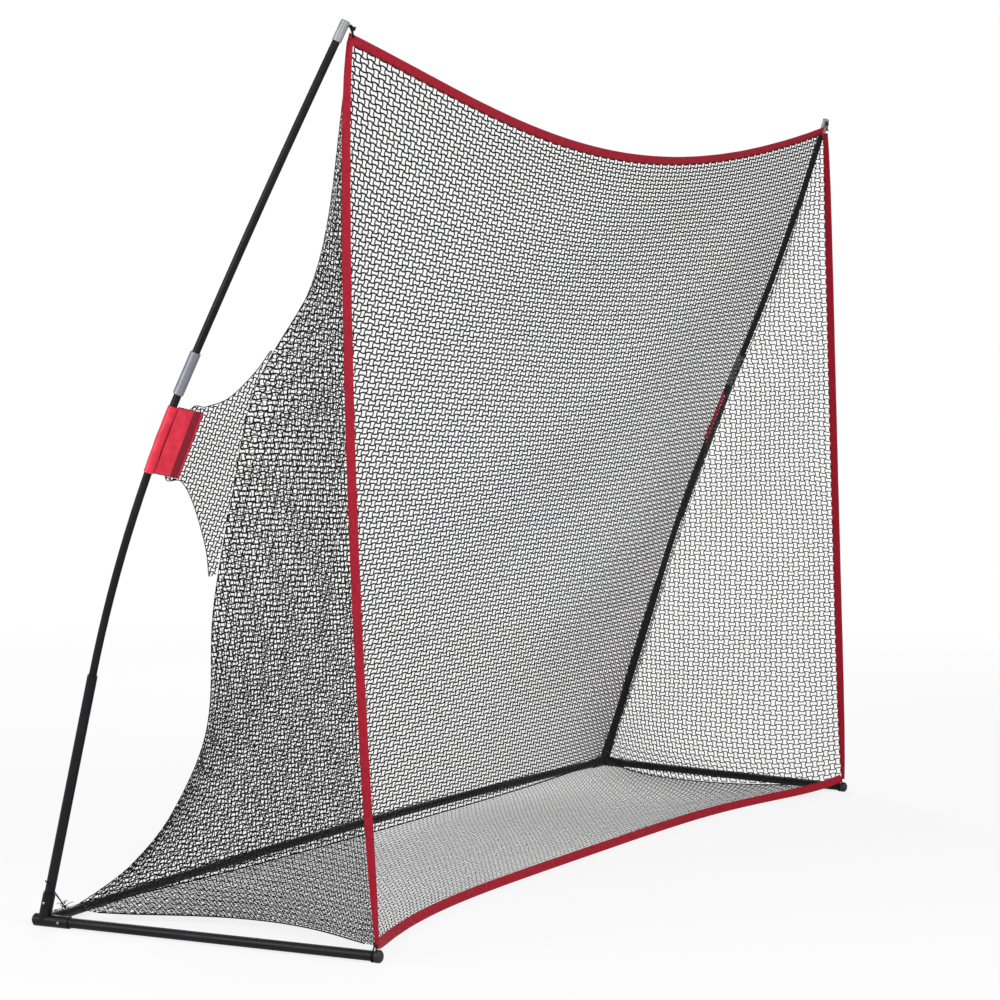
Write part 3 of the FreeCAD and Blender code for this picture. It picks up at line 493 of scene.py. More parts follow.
def rear_seam(share):
    arch = 1 - abs(2 * share - 1) ** 3
    line = mix(seam(-1, SEAM_BOTTOM), seam(1, SEAM_BOTTOM), share)
    return line + vec(0, -REAR_EDGE_BOW * arch, REAR_EDGE_RISE * arch)


def top_line(share, drop):
    line = mix(seam(-1, SEAM_TOP), seam(1, SEAM_TOP), share)
    offset = 2 * share - 1
    arch = (1 - offset**2) * (1 + TOP_SKEW * offset - TOP_TAPER * offset**2)
    return line + vec(0, TOP_SAG_BACK * arch, -TOP_SAG * arch) + DOWN_BACK * drop


def bottom_line(x, rise):
    share = abs(x) / FRONT_HALF
    back, up = BOTTOM_SLANT
    y = FRONT + BOTTOM_BACK + BOTTOM_BOW * (1 - share**4) + back * rise
    return vec(x, y, BOTTOM_LIFT + BOTTOM_END_LIFT * share**14 + up * rise)


def square_to(along, facing):
    return unit(facing - along * facing.dot(along))


def wing_plane(side):
    """(origin, up the pole, across to the net, outward to the front) of a pole wrap and its wing."""
    near = 60
    up = unit(pole_point(side, WRAP_HEIGHT + near) - pole_point(side, WRAP_HEIGHT - near))
    across = square_to(up, lean(side))
    front = np.cross(up, across)
    return pole_point(side, WRAP_HEIGHT), up, across, -front if front[1] > 0 else front


def on_wing(side, height, reach):
    origin, _, _, front = wing_plane(side)
    point = pole_point(side, height) + lean(side) * reach
    return point - front * (point - origin).dot(front)


def wing_edge(side):
    return [on_wing(side, z, reach) for z, reach in WING_EDGE]


# ---- Meshes ----


class Build:
    """Collects quads, in millimetres, for one piece."""

    def __init__(self):
        self.points, self.quads, self.finish, self.strip = [], [], [], []
        self.count = 0

    def rings(self, rings, finish=0, strip=None):
        """Skins rings of points, shape (stations, points, 3), with open ends."""
        stations, around = rings.shape[:2]
        ids = self.count + np.arange(stations * around).reshape(stations, around)
        self.points.append(rings.reshape(-1, 3))
        if strip is None:
            strip = np.zeros((stations, around, 2))
        self.strip.append(strip.reshape(-1, 2))
        self.count += stations * around
        here, there = ids[:-1], ids[1:]
        corners = [here, np.roll(here, -1, axis=1), np.roll(there, -1, axis=1), there]
        quads = np.stack(corners, axis=-1).reshape(-1, 4)
        self.quads.append(quads)
        self.finish.append(np.full(len(quads), finish))

    def capped(self, rings, finish=0, strip=None):
        """Rings with both ends drawn in to their middles, so that the form is closed."""
        first, last = rings[:1], rings[-1:]
        shrunk = [first.mean(axis=1, keepdims=True) * np.ones_like(first), rings]
        shrunk.append(last.mean(axis=1, keepdims=True) * np.ones_like(last))
        if strip is not None:
            strip = np.concatenate([strip[:1], strip, strip[-1:]])
        self.rings(np.concatenate(shrunk), finish=finish, strip=strip)

    def piece(self, name, slot, *replaces, extra=(), body="frame"):
        points = np.concatenate(self.points) * MM
        quads = np.concatenate(self.quads)
        data = bpy.data.meshes.new(name)
        data.vertices.add(len(points))
        data.vertices.foreach_set("co", points.astype(np.float32).ravel())
        data.loops.add(quads.size)
        data.loops.foreach_set("vertex_index", quads.astype(np.int32).ravel())
        data.polygons.add(len(quads))
        data.polygons.foreach_set("loop_start", np.arange(0, quads.size, 4, dtype=np.int32))
        data.polygons.foreach_set("material_index", np.concatenate(self.finish).astype(np.int32))
        data.polygons.foreach_set("use_smooth", np.ones(len(quads), bool))
        strip = (np.concatenate(self.strip) * MM)[quads.ravel()].astype(np.float32)
        data.uv_layers.new(name="strip").data.foreach_set("uv", strip.ravel())
        data.update(calc_edges=True)
        for material in (FINISHES[slot], *extra):
            data.materials.append(material)
        made = bpy.data.objects.new(name, data)
        bpy.context.scene.collection.objects.link(made)
        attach(made, body)
        if replaces:
            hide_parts(*replaces)
        return made


def smooth_through(points, count):
    """Points of a smooth line through the given ones, evenly spaced in their own measure."""
    points = np.asarray(points, float)
    ends = [2 * points[0] - points[1], 2 * points[-1] - points[-2]]
    padded = np.vstack([ends[0], points, ends[1]])
    where = np.linspace(0, len(points) - 1, count)
    i = np.clip(where.astype(int), 0, len(points) - 2)
    t = (where - i)[:, None]
    a, b, c, d = (padded[i + k] for k in range(4))
    return b + 0.5 * t * (c - a + t * (2 * a - 5 * b + 4 * c - d + t * (3 * (b - c) + d - a)))


def distances(points):
    """How far along the line each point is."""
    return np.concatenate([[0], np.cumsum(np.linalg.norm(np.diff(points, axis=0), axis=1))])


def on_line(values, far, where):
    """The line's values at the given distances along it."""
    return np.stack([np.interp(where, far, values[:, k]) for k in range(3)], axis=-1)


def evenly(points, spacing):
    """The line with points the same distance apart."""
    far = distances(points)
    count = max(int(round(far[-1] / spacing)), 2) + 1
    return on_line(points, far, np.linspace(0, far[-1], count))


def directions(points):
    return unit(np.gradient(points, axis=0))


def carried(points, first):
    """A direction square to the line, carried along it without twisting."""
    along = directions(points)
    found = [square_to(along[0], first)]
    for direction in along[1:]:
        found.append(square_to(direction, found[-1]))
    return np.array(found)


def round_rings(points, normals, radius, sides):
    across = np.cross(directions(points), normals)
    angles = (2 * math.pi * np.arange(sides) / sides)[None, :, None]
    spokes = np.cos(angles) * normals[:, None] + np.sin(angles) * across[:, None]
    return points[:, None] + spokes * radius


LAY = 3.4  # diameters of a cord to one turn of its plies
PLY_OFFSET, PLY_RADIUS, PLY_SIDES = 0.24, 0.27, 5  # the first two in diameters of the cord


def twisted(build, points, diameter, plies=3, first=(0.1, 0.2, 1)):
    """A laid cord: a few strands wound round the line."""
    points = evenly(np.asarray(points, float), diameter * LAY / 8)
    normals = carried(points, np.array(first, float))
    across = np.cross(directions(points), normals)
    far = distances(points)
    for ply in range(plies):
        angle = (2 * math.pi * (far / (diameter * LAY) + ply / plies))[:, None]
        strand = points + (np.cos(angle) * normals + np.sin(angle) * across) * diameter * PLY_OFFSET
        build.capped(round_rings(strand, normals, diameter * PLY_RADIUS, PLY_SIDES))


# ---- Netting ----

WAVE, FLOOR_WAVE = 0.17, 0.3  # how far a strand swings between crossings, in cells
SLIP = 0.07  # how far a crossing strays from its place, in cells
STEPS = 4  # lengths to a cell
SHORTEST = 4  # points of a trimmed strand that are worth keeping
# Width and height of a cell, and how much wider the back's cells are at its left
BACK_CELL, BACK_WARP = (23.0, 15.2), 0.3
FLOOR_CELL = (22.0, 18.0)
SIDE_CELLS = {-1: (11.5, 13.4), 1: (17.0, 15.6)}
WING_CELL = (10.5, 13.2)
# Width and thickness of the flat knotless strands
BACK_STRAND, FLOOR_STRAND, WING_STRAND = (3.8, 1.5), (2.5, 0.75), (2.8, 1.0)
SIDE_STRANDS = {-1: (2.1, 0.8), 1: (3.0, 1.1)}
LACING, LACING_START = 1.8, 6  # diameter of a rear seam's lacing, and its start above the seam's end
EVENING_ROUNDS = 1500
BACK_GRID, SIDE_GRID, FLOOR_GRID = (33, 30), (13, 30), (33, 17)  # columns and rows
BACK_BANDS, FLOOR_BANDS = 7, 3
# Long waves in a panel: how many are added up and their radians to a cell, then how far they move
# the strands along it, in cells, and lift them off it
TERMS, DRIFT, WANDER, SWELL = 6, (0.02, 0.16), 0.75, 7.0
CALM = 9  # how steeply those waves grow from an edge
FLAT_SWELL, FLAT_RIPPLE = 2.0, 0.3


def patch(bottom, top, left, right):
    """A function of two shares that fills the space inside four lines."""

    def point(across, up):
        sides = mix(left(up), right(up), across)
        ends = mix(bottom(across), top(across), up)
        low, high = mix(bottom(0), bottom(1), across), mix(top(0), top(1), across)
        return sides + ends - mix(low, high, up)

    return point


def drawn_tight(fill, columns, rows, end=1):
    """A grid evened out between the edges of a fill, as a net is when it is stretched."""
    grid = np.array([[fill(x, y) for x in steps(0, 1, columns)] for y in steps(0, end, rows)])
    for _ in range(EVENING_ROUNDS):
        around = grid[:-2, 1:-1] + grid[2:, 1:-1] + grid[1:-1, :-2] + grid[1:-1, 2:]
        grid[1:-1, 1:-1] = around / 4
    return grid


def weights(t):
    """Catmull-Rom weights of the four points round each place."""
    before, here = -t + 2 * t**2 - t**3, 2 - 5 * t**2 + 3 * t**3
    return 0.5 * np.stack([before, here, t + 4 * t**2 - 3 * t**3, t**3 - t**2], axis=-1)


class Panel:
    """A net panel: cells are counted from its first edge and from its bottom."""

    def __init__(self, rows, seed, cell, warp=0.0, wave=WAVE, cut_square=False):
        self.rows = np.pad(rows, ((1, 1), (1, 1), (0, 0)), mode="reflect", reflect_type="odd")
        self.shape = rows.shape[:2]
        self.cell, self.warp, self.wave, self.cut_square = cell, warp, wave, cut_square
        self.widths = np.linalg.norm(np.diff(rows, axis=1), axis=2).sum(axis=1)
        self.height = np.linalg.norm(np.diff(rows, axis=0), axis=2).sum(axis=0).mean()
        breadth = self.widths.max() if cut_square else self.widths.mean()
        self.up = int(round(self.height / cell[1]))
        self.across = int(math.ceil(breadth / cell[0]))
        draw = np.random.default_rng(seed)
        self.drift = draw.uniform(*DRIFT, (3, TERMS, 2)) * draw.choice((-1, 1), (3, TERMS, 2))
        self.phase = draw.uniform(0, 2 * math.pi, (3, TERMS))
        self.slips = draw.normal(0, SLIP, (self.across + 2, self.up + 2, 2))

    def flat(self, first, last, bottom, top):
        """((width, height), area) between two columns and two rows of cells, in metres."""
        rise = float(self.height * (top - bottom) / self.up) * MM
        if not self.cut_square:
            start, end = (self.shares(column, 0)[0] for column in (first, last))
            breadth = float(self.widths.mean() * (end - start)) * MM
            return (breadth, rise), None
        levels = np.linspace(bottom, top, 60) / self.up
        widths = np.interp(levels, np.linspace(0, 1, self.shape[0]), self.widths) * MM
        return (float(widths.max()), rise), float(widths.mean()) * rise

    def ripple(self, kind, a, b):
        terms = [
            np.sin(fa * a + fb * b + phase) / TERMS
            for (fa, fb), phase in zip(self.drift[kind], self.phase[kind])
        ]
        return sum(terms)

    def slipped(self, a, b, calm):
        """Places moved with their nearest crossings, each of which has slipped a little on its own."""
        i = np.clip(np.floor(a).astype(int), 0, self.across)
        j = np.clip(np.floor(b).astype(int), 0, self.up)
        x, y = (a - i)[:, None], (b - j)[:, None]
        low, high = (mix(self.slips[i, k], self.slips[i + 1, k], x) for k in (j, j + 1))
        slip = mix(low, high, y) * calm[:, None]
        return a + slip[:, 0], b + slip[:, 1]

    def shares(self, a, b):
        v = b / self.up
        if not self.cut_square:
            share = a / self.across
            return share + self.warp * share * (1 - share), v
        widths = np.interp(v, np.linspace(0, 1, self.shape[0]), self.widths)
        return a * self.cell[0] / widths, v

    def surface(self, u, v):
        found = []
        for share, size in ((np.clip(v, 0, 1), self.shape[0]), (np.clip(u, 0, 1), self.shape[1])):
            where = share * (size - 1)
            i = np.minimum(where.astype(int), size - 2)
            found.append((i, weights(where - i)))
        (iv, wv), (iu, wu) = found
        total = 0
        for p in range(4):
            for q in range(4):
                total = total + (wv[..., p] * wu[..., q])[..., None] * self.rows[iv + p, iu + q]
        return total

    def lay(self, a, b):
        """(points, normals, which are on the panel) for places in cells."""
        u, v = self.shares(a, b)
        slack = 1e-6
        inside = (u > -slack) & (u < 1 + slack) & (v > -slack) & (v < 1 + slack)
        calm = np.clip(CALM * u * (1 - u), 0, 1) * np.clip(CALM * v * (1 - v), 0, 1)
        drift = (WANDER * calm * self.ripple(kind, a, b) for kind in (0, 1))
        u, v = self.shares(*(place + move for place, move in zip(self.slipped(a, b, calm), drift)))
        small = 1e-3
        normals = np.cross(
            self.surface(u + small, v) - self.surface(u - small, v),
            self.surface(u, v + small) - self.surface(u, v - small),
        )
        normals = unit(normals)
        swell = SWELL * calm * self.ripple(2, a, b)
        return self.surface(u, v) + normals * swell[..., None], normals, inside


class Flat:
    """A flat net panel inside an outline, with cells counted from a corner."""

    def __init__(self, origin, across, up, outline, cell):
        self.origin, self.side, self.rise = origin, across, up
        self.normal = np.cross(across, up)
        self.cell, self.wave = np.array(cell), WAVE
        places = [((p - origin).dot(across), (p - origin).dot(up)) for p in outline]
        flat = np.array(places) / self.cell
        self.start = flat.min(axis=0)
        self.outline = flat - self.start
        self.across, self.up = (int(math.ceil(n)) for n in np.ptp(flat, axis=0))

    def area(self):
        x, y = self.outline.T
        cells = abs(np.dot(x, np.roll(y, 1)) - np.dot(y, np.roll(x, 1))) / 2
        return float(cells * self.cell.prod() * MM * MM)

    def flat(self, first, last, bottom, top):
        size = (last - first) * self.cell[0] * MM, (top - bottom) * self.cell[1] * MM
        return tuple(float(side) for side in size), self.area()

    def lay(self, a, b):
        inside = np.zeros(a.shape, bool)
        ends = self.outline
        for (x0, y0), (x1, y1) in zip(ends, np.roll(ends, -1, axis=0)):
            crosses = (y0 > b) != (y1 > b)
            reach = x0 + (b - y0) * (x1 - x0) / (y1 - y0 if y1 != y0 else 1)
            inside ^= crosses & (a < reach)
        x = (a + self.start[0])[:, None] * self.cell[0]
        y = (b + self.start[1])[:, None] * self.cell[1]
        swell = (FLAT_SWELL * np.sin(a * FLAT_RIPPLE) * np.sin(b * FLAT_RIPPLE))[:, None]
        points = self.origin + self.side * x + self.rise * y + self.normal * swell
        return points, np.broadcast_to(self.normal, points.shape), inside


def flat_rings(points, normals, width, thickness):
    """Four-cornered sections that lie flat along the surface."""
    across = np.cross(directions(points), normals)
    corners = [
        points + across * (x * width / 2) + normals * (y * thickness / 2)
        for x, y in ((1, 1), (-1, 1), (-1, -1), (1, -1))
    ]
    return np.stack(corners, axis=1)


def strands(build, panel, section, first, last, bottom, top):
    """The strands of a panel between two columns and two rows of cells."""

    def add(a, b):
        points, normals, inside = panel.lay(a, b)
        edges = np.flatnonzero(np.diff(np.concatenate([[0], inside.astype(int), [0]])))
        for start, end in zip(edges[::2], edges[1::2]):
            if end - start >= SHORTEST:
                run = slice(start, end)
                build.rings(flat_rings(points[run], normals[run], *section))

    a = np.linspace(first, last, (last - first) * STEPS + 1)
    for row in range(bottom, top + (top == panel.up)):
        add(a, row + panel.wave * np.sin(math.pi * a) * (-1) ** row)
    b = np.linspace(bottom, top, (top - bottom) * STEPS + 1)
    for column in range(first, last + (last == panel.across)):
        add(column - panel.wave * np.sin(math.pi * b) * (-1) ** column, b)


def netting(name, panel, node, section, bands=1, levels=(0, 1), lacing=None):
    """The pieces of a net panel, in bands across or in levels, and the lacing of its seam."""
    columns = [round(panel.across * k / bands) for k in range(bands + 1)]
    rows = [round(panel.up * level) for level in levels]
    blocks = [(*across, *up) for across in zip(columns, columns[1:]) for up in zip(rows, rows[1:])]
    for number, block in enumerate(blocks):
        build = Build()
        strands(build, panel, section, *block)
        if lacing is not None:
            twisted(build, lacing(block[2] / panel.up, block[3] / panel.up), LACING)
        label = name if len(blocks) == 1 else f"{name}_{number + 1}"
        piece = build.piece(label, "black_net", *([] if number else [node]))
        flat, area = panel.flat(*block)


def steps(start, end, count):
    return [mix(start, end, i / (count - 1)) for i in range(count)]


UNDER_HEM = 1.5  # how far a panel runs under the inner edge of a hem
SIDE_LEVELS = (0, 0.2, 0.52, 1)  # where the side panels' pieces meet, as shares of their height
SIDE_TOP = 2136  # where the side panels are cut off, under the top hem


def back_panel():
    drop = HEM_WIDTH - UNDER_HEM
    top = SEAM_TOP - drop
    fill = patch(
        rear_seam,
        lambda across: top_line(across, drop),
        lambda up: seam(-1, mix(SEAM_BOTTOM, top, up)),
        lambda up: seam(1, mix(SEAM_BOTTOM, top, up)),
    )
    panel = Panel(drawn_tight(fill, *BACK_GRID), BACK_SEED, BACK_CELL, BACK_WARP)
    netting("back_netting", panel, "back_net", BACK_STRAND, bands=BACK_BANDS)


def side_panels():
    for word, side in SIDES:

        def front(height):
            under = vec(side * HEM_OUT, hem_half(height) - UNDER_HEM, 0)
            return hem_line(side, height) + drawn_in(side, height) + under

        fill = patch(
            lambda across: floor_seam(side, across),
            lambda across: mix(front(HEM_TOP), seam(side, SEAM_TOP), across),
            lambda up: front(mix(HEM_BOTTOM, HEM_TOP, up)),
            lambda up: seam(side, mix(SEAM_BOTTOM, SEAM_TOP, up)),
        )
        end = (SIDE_TOP - SEAM_BOTTOM) / (SEAM_TOP - SEAM_BOTTOM)
        rows = drawn_tight(fill, *SIDE_GRID, end)
        panel = Panel(rows, SIDE_SEED + side, SIDE_CELLS[side], cut_square=True)

        def lacing(low, high):
            start = SEAM_BOTTOM + LACING_START
            heights = (mix(start, SIDE_TOP, share) for share in steps(low, high, 60))
            return np.array([seam(side, height) for height in heights])

        name, node = f"side_netting_{word}", f"side_net_{word}"
        netting(name, panel, node, SIDE_STRANDS[side], levels=SIDE_LEVELS, lacing=lacing)


def floor_panel():
    end = FRONT_HALF - 4
    rise, behind = 12, vec(0, 2.5, 0)
    fill = patch(
        lambda across: bottom_line(mix(-end, end, across), rise) + behind,
        rear_seam,
        lambda up: floor_seam(-1, up),
        lambda up: floor_seam(1, up),
    )
    panel = Panel(drawn_tight(fill, *FLOOR_GRID), FLOOR_SEED, FLOOR_CELL, wave=FLOOR_WAVE)
    netting("floor_netting", panel, "floor_net", FLOOR_STRAND, bands=FLOOR_BANDS)


def wing_panels():
    for word, side in SIDES:
        origin, up, across, _ = wing_plane(side)
        heights = steps(WING_TOP, WING_BOTTOM, 12)
        inner = [on_wing(side, z, between(SEAM_SPREAD, z)) for z in heights]
        outline = list(smooth_through(wing_edge(side), 60)) + inner
        panel = Flat(origin, across, up, outline, WING_CELL)
        netting(f"wing_netting_{word}", panel, f"wing_net_{word}", WING_STRAND)


# ---- Webbing hems ----

# (share of the half width, half thickness) of webbing folded over the net, from its fold to its edges
FOLD = (
    (-1.0, 0.0), (-0.99, 0.9), (-0.9, 1.5), (-0.6, 1.42), (-0.2, 1.36), (0.3, 1.3),
    (0.62, 1.22), (0.7, 0.86), (0.78, 1.2), (0.93, 1.3), (0.99, 1.0), (1.0, 0.5),
)
STATION = 5.0  # between sections of the webbing
CROWDING = 1.7  # how much thicker the webbing can get where it is gathered
STITCH, STITCH_GAP, STITCH_AT = 3.4, 1.1, 0.7  # length, gap, and place on the half width
STITCH_LIFT, STITCH_RADIUS = np.array((0.55, 1.25, 1.25, 0.55)), 0.36


def hem(name, outer, inner, facing, node):
    """Folded webbing between its outer and inner edge lines, with stitches near its open edges."""
    count = int(distances((outer + inner) / 2)[-1] / STATION)
    outer, inner = smooth_through(outer, count), smooth_through(inner, count)
    middle, reach = (outer + inner) / 2, (inner - outer) / 2
    far = distances(middle)
    half = np.linalg.norm(reach, axis=1)
    across = reach / half[:, None]
    out = unit(np.cross(across, directions(middle)))
    out = out * np.sign((out * facing).sum(axis=1))[:, None]
    sway = 0.5 * np.sin(far / 23) + 0.4 * np.sin(far / 61 + 1)
    middle = middle + out * sway[:, None] * 0.6
    crowd = HEM_WIDTH / 2 / half
    profile = list(FOLD) + [(w, -t) for w, t in FOLD[::-1]]
    rings, strip = [], []
    for w, t in profile:
        pucker = 0.12 * np.sin(2 * math.pi * far / 8 + 2 * w) * (w > 0.3)
        bulge = np.sign(t) * (abs(t) * np.minimum(crowd, CROWDING) + pucker) if t else 0 * far
        edge = 1 + 0.018 * np.sin(far / 9 + 3) * (w > 0.9)
        rings.append(middle + across * (half * w * edge)[:, None] + out * bulge[:, None])
        strip.append(np.stack([far, np.full(count, (w + 1) * HEM_WIDTH / 2 + 60 * (t < 0))], axis=1))
    build = Build()
    build.capped(np.stack(rings, axis=1), strip=np.stack(strip, axis=1))
    row = middle + across * (half * STITCH_AT)[:, None]
    for face in (-1, 1):
        for start in np.arange(STITCH, far[-1] - STITCH, STITCH + STITCH_GAP):
            normal = on_line(out, far, start) * face
            line = on_line(row, far, np.linspace(start, start + STITCH, 4))
            line = line + normal * STITCH_LIFT[:, None]
            normals = np.broadcast_to(normal, line.shape)
            build.rings(round_rings(line, normals, STITCH_RADIUS, 4), finish=1)
    build.piece(name, "red_webbing", node, extra=[THREAD])


def hems():
    shares = steps(0.0, 1.0, 41)
    upper, lower = (np.array([top_line(s, drop) for s in shares]) for drop in (0, HEM_WIDTH))
    hem("top_webbing", upper, lower, vec(0, -1, 0), "top_hem")
    places = steps(2 - FRONT_HALF, FRONT_HALF - 2, 61)
    low, high = (np.array([bottom_line(x, rise) for x in places]) for rise in (0, HEM_WIDTH))
    hem("bottom_webbing", low, high, vec(0, -1, 0), "bottom_hem")
    for word, side in SIDES:
        heights = steps(HEM_BOTTOM - 6, HEM_TOP - 20, 41)
        beside = vec(side * HEM_OUT, 0, 0)
        middle = np.array([hem_line(side, z) + drawn_in(side, z) + beside for z in heights])
        half = np.array([vec(0, hem_half(z), 0) for z in heights])
        edges = middle - half, middle + half
        hem(f"side_webbing_{word}", *edges, vec(side, 0, 0), f"side_hem_{word}")


# ---- Pole wraps ----


BORE, SLEEVE, LIP = 10.4, 1.5, 1.6  # a sleeve's inner radius, its thickness and its lips
SLEEVE_OPEN, SLEEVE_POINTS = 28, 40  # half the angle it is open at, towards the net
LEAF_GAP, LEAF = 1.7, 2.0  # from the net to a leaf, and the leaf's thickness
HINGE_REACH = 14.5  # from the pole to the root of a flap
BORDER = 6  # width of a leaf's rounded border
# Distances from the pole: (place, half width) of a leaf's seams, its hook strip and its stitches
SEAM_ROWS, STRIP, STITCH_ROWS = ((57, 1.2), (80, 1.0)), (57, 78), (59, 79)
LEAF_STITCH, LEAF_PITCH, LEAF_LIFT = 3.2, 4.4, np.array((-0.3, 0.35, 0.35, -0.3))


def cloth_leaf(build, origin, up, across, front, near, far, start, seed, root=0.0):
    """A leaf of coated cloth with a piped border, a stitched hook-and-loop strip and soft dents."""

    def at(reach, height, depth):
        return origin + across * reach + up * height + front * depth

    phases = np.random.default_rng(seed).uniform(0, 2 * math.pi, 4)
    half = WRAP_LENGTH / 2
    middle, thick = (near + far) / 2, abs(far - near) / 2
    side = 1 if far > near else -1
    high = np.linspace(-half, half, 59)
    wide = np.linspace(start, WRAP_REACH, 25)
    w, h = np.meshgrid(wide, high)
    inset = np.minimum(np.minimum(w - start + BORDER / 2, WRAP_REACH - w), half - np.abs(h))
    edge = inset.clip(0, BORDER) / BORDER
    dent = 0.5 * np.sin(h / 17 + phases[0]) * np.sin(w / 13 + phases[1])
    dent = dent + 0.35 * np.sin(h / 8 + w / 9 + phases[2])
    swell = thick * (0.45 + 0.55 * np.sqrt(edge)) + 0.55 * dent * edge
    seams = sum(0.5 * np.exp(-(((w - place) / breadth) ** 2)) for place, breadth in SEAM_ROWS)
    swell = swell - seams * 0.8 * edge + root * np.exp((start - w) / 7)
    outer, inner = (
        at(w[..., None], h[..., None], (middle + side * depth)[..., None])
        for depth in (swell, -thick * (0.45 + 0.4 * edge))
    )
    rings = np.concatenate([outer, inner[:, ::-1]], axis=1)
    distance = np.stack([np.broadcast_to(h, w.shape) + 90, w], axis=-1)
    strip = np.concatenate([distance, distance[:, ::-1] + 200], axis=1)
    count = build.count
    build.capped(rings, strip=strip)
    columns = (build.quads[-1][:, 0] - count) % rings.shape[1]
    last = len(wide) - 1
    reach = wide[np.minimum(columns, last)]
    build.finish[-1][(columns < last) & (reach > STRIP[0]) & (reach < STRIP[1])] = 1
    rim = [(start, -half), (WRAP_REACH, -half), (WRAP_REACH, half), (start, half)]
    line = [
        at(mix(a, c, share), mix(b, d, share), middle)
        for (a, b), (c, d) in zip(rim, rim[1:])
        for share in np.linspace(0, 1, 24, endpoint=False)
    ]
    line = np.array([*line, at(*rim[-1], middle)])
    line = line + (at((start + WRAP_REACH) / 2, 0, middle) - line) * 0.012
    build.capped(round_rings(line, carried(line, front), thick * 1.02, 8), finish=2)
    lift = middle + side * (thick + LEAF_LIFT + 0.25)
    for reach in STITCH_ROWS:
        for begin in np.arange(-half + BORDER, half - 8, LEAF_PITCH):
            rows = np.linspace(begin, begin + LEAF_STITCH, 4)
            line = at(reach, rows[:, None], lift[:, None])
            build.rings(round_rings(line, np.broadcast_to(front, line.shape), 0.34, 4), finish=3)


def piping():
    s = Shader("dark_piping", Roughness=0.6)
    s.two_tones(s.noise(420), (0.05, 0.004, 0.008), (0.12, 0.006, 0.014))
    s.rough(s.noise(200), 0.45, 0.65)
    s.bump(s.noise(1700), 0.5, 0.0002)
    return s.material


def wraps():
    extra = [HOOK_STRIP, piping(), THREAD]
    for word, side in SIDES:
        origin, up, across, front = wing_plane(side)
        build = Build()
        heights = np.linspace(-WRAP_LENGTH / 2, WRAP_LENGTH / 2, 61)
        angles = np.radians(np.linspace(SLEEVE_OPEN, 360 - SLEEVE_OPEN, SLEEVE_POINTS))
        cosine, sine = np.cos(angles), np.sin(angles)
        front_lip = np.exp(-(((angles - angles[0]) / 0.45) ** 2))
        back_lip = np.exp(-(((angles[-1] - angles) / 0.35) ** 2))
        phase = 1.3 + side
        rings = []
        for h in heights:
            centre = pole_point(side, WRAP_HEIGHT + up[2] * h)
            folds = 0.35 * np.sin(h / 9 + 2 * angles + phase) + 0.3 * np.sin(h / 23 - 3 * angles)
            end = 0.8 * math.exp(-((WRAP_LENGTH / 2 - abs(h)) / 3) ** 2)
            outer = BORE + SLEEVE + folds * 0.8 + end
            x = cosine * outer + LIP * (front_lip + back_lip)
            y = sine * outer * (1 - 0.25 * front_lip - 0.42 * back_lip)
            skin, lining = (
                centre + across * reach[:, None] + front * depth[:, None]
                for reach, depth in ((x, y), (cosine * BORE, sine * BORE))
            )
            rings.append(np.concatenate([skin, lining[::-1]]))
        rings = np.array(rings)
        around = np.concatenate([angles * 12, (angles * 12)[::-1] + 100])
        strip = np.stack(np.broadcast_arrays(heights[:, None] + 90, around[None]), axis=-1)
        build.rings(rings, strip=strip)
        for end in (0, -1):
            build.rings(np.stack([rings[end][:SLEEVE_POINTS], rings[end][SLEEVE_POINTS:][::-1]]))
        leaf = build, origin, up, across, front, -LEAF_GAP, -LEAF_GAP - LEAF
        cloth_leaf(*leaf, BORE + 0.7, SLEEVE_SEED + side)
        build.piece(f"wrap_sleeve_{word}", "red_vinyl", f"pole_wrap_{word}", extra=extra)
        build = Build()
        leaf = build, origin, up, across, front, LEAF_GAP, LEAF_GAP + LEAF
        cloth_leaf(*leaf, HINGE_REACH, COVER_SEED + side, root=0.5)
        flap = f"wrap_flap_{word}"
        build.piece(f"wrap_cover_{word}", "red_vinyl", flap, extra=extra, body=flap)


# ---- Cords and ties ----


SEAM_CORD, WING_CORD = 4, 2.6
FRONT_TIE, REAR_TIE, TOP_TIE = 3.2, 2.8, 2.6
PIN_RADIUS = 3
LOOSE_ENDS, LOOSE_RADIUS = 9, 0.8


def cords():
    def laid(name, points, diameter, node):
        build = Build()
        twisted(build, smooth_through(points, 12 * len(points)), diameter)
        build.piece(name, "black_cord", node)

    for word, side in SIDES:
        line = [floor_seam(side, s) for s in steps(0.07, 0.94, 13)]
        laid(f"floor_seam_cord_{word}", line, SEAM_CORD, f"floor_edge_cord_{word}")
        laid(f"wing_cord_{word}", wing_edge(side), WING_CORD, f"wing_edge_cord_{word}")
    laid("rear_seam_cord", [rear_seam(s) for s in steps(0.02, 0.98, 17)], SEAM_CORD, "rear_edge_cord")


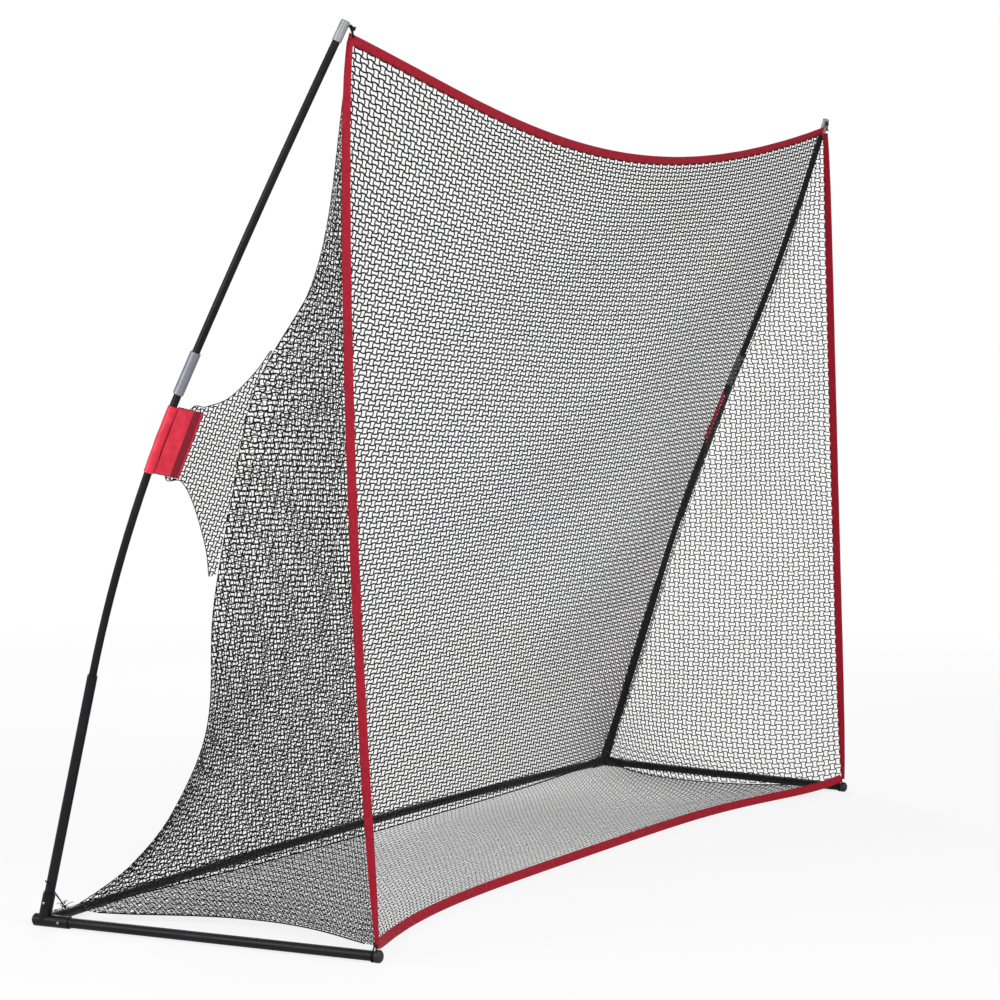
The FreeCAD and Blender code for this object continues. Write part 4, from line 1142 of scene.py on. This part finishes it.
def tie(build, centre, axis, radius, apex, thick, turns=1):
    """A cord from a knot at the apex, round a bar and back, with the knot and its two tails."""
    towards = apex - centre
    distance = np.linalg.norm(towards)
    towards = towards / distance
    normal = square_to(towards, axis)
    ring = (radius + 0.15 + thick / 2) / abs(normal.dot(axis))
    across = np.cross(normal, towards)
    spread = math.acos(ring / distance)
    angles = np.linspace(spread, 2 * math.pi - spread, 30)
    for turn in range(turns):
        middle = centre + axis * (thick * 1.05 * (turn - (turns - 1) / 2))
        loop = [apex + across * thick * 0.55]
        loop += [middle + (towards * math.cos(a) + across * math.sin(a)) * ring for a in angles]
        loop.append(apex - across * thick * 0.55)
        twisted(build, evenly(np.array(loop), 0.7), thick, plies=2, first=normal)
    angles = np.linspace(0, 2 * math.pi * 2.6, 44)
    climb = np.linspace(-thick * 1.3, thick * 1.3, 44)[:, None]
    around = normal * np.cos(angles)[:, None] + across * np.sin(angles)[:, None]
    knot = apex + around * thick + towards * climb
    twisted(build, knot, thick * 0.95, plies=2, first=towards)
    for sign in (-1, 1):
        tail = [
            apex
            + across * (sign * thick * 0.8 * s)
            + normal * (thick * (0.5 * s + 0.2 * sign * s * s))
            + vec(0, 0, -thick * (0.4 * s + 0.3 * s * s))
            for s in np.linspace(0, 2.4, 9)
        ]
        twisted(build, np.array(tail), thick * 0.9, plies=2, first=normal)


def loose_ends(build, origin, towards, seed):
    """Curled ends of netting twine that stand out of a gathered corner."""
    draw = np.random.default_rng(seed)
    for _ in range(LOOSE_ENDS):
        heading = unit(towards + draw.normal(0, 0.55, 3))
        bend = square_to(heading, draw.normal(0, 1, 3))
        reach, curl = draw.uniform(16, 34), draw.uniform(1.5, 3.6)
        turn = np.linspace(0, 1, 12)[:, None] * curl
        line = origin + heading * reach * np.sin(turn) / curl
        line = line + bend * reach * (1 - np.cos(turn)) / curl
        normals = carried(line, np.cross(heading, bend))
        build.capped(round_rings(line, normals, LOOSE_RADIUS, 5))


def front_tie(build, side):
    run = unit(front_end(side) - corner(side))
    station = front_end(side) - run * 6
    tie(build, station, run, TUBE_RADIUS, station + vec(0, -3, 26), FRONT_TIE, turns=2)


def rear_tie(build, side):
    along = unit(POLES[side][0])
    foot = corner(side) + along * 89
    apex = seam(side, SEAM_BOTTOM) + vec(side * 14, 6, 10)
    tie(build, foot, along, TUBE_RADIUS, apex, REAR_TIE)
    loose_ends(build, apex, unit(foot - apex), ENDS_SEED + side)


def top_tie(build, side):
    at_tip = POLES[side][2].at_end
    inward = square_to(at_tip, vec(-side * 0.75, -0.65, 0))
    pin = tip(side) + at_tip * 12 + inward * 18.5
    tie(build, pin, inward, PIN_RADIUS, pin + vec(-side * 3, -3, -20), TOP_TIE, turns=2)


def ties():
    for word, side in SIDES:
        for place, tied in (("front", front_tie), ("rear", rear_tie), ("top", top_tie)):
            build = Build()
            tied(build, side)
            build.piece(f"{place}_loop_{word}", "black_cord", f"{place}_tie_{word}")


back_panel()
side_panels()
floor_panel()
wing_panels()
hems()
wraps()
cords()
ties()
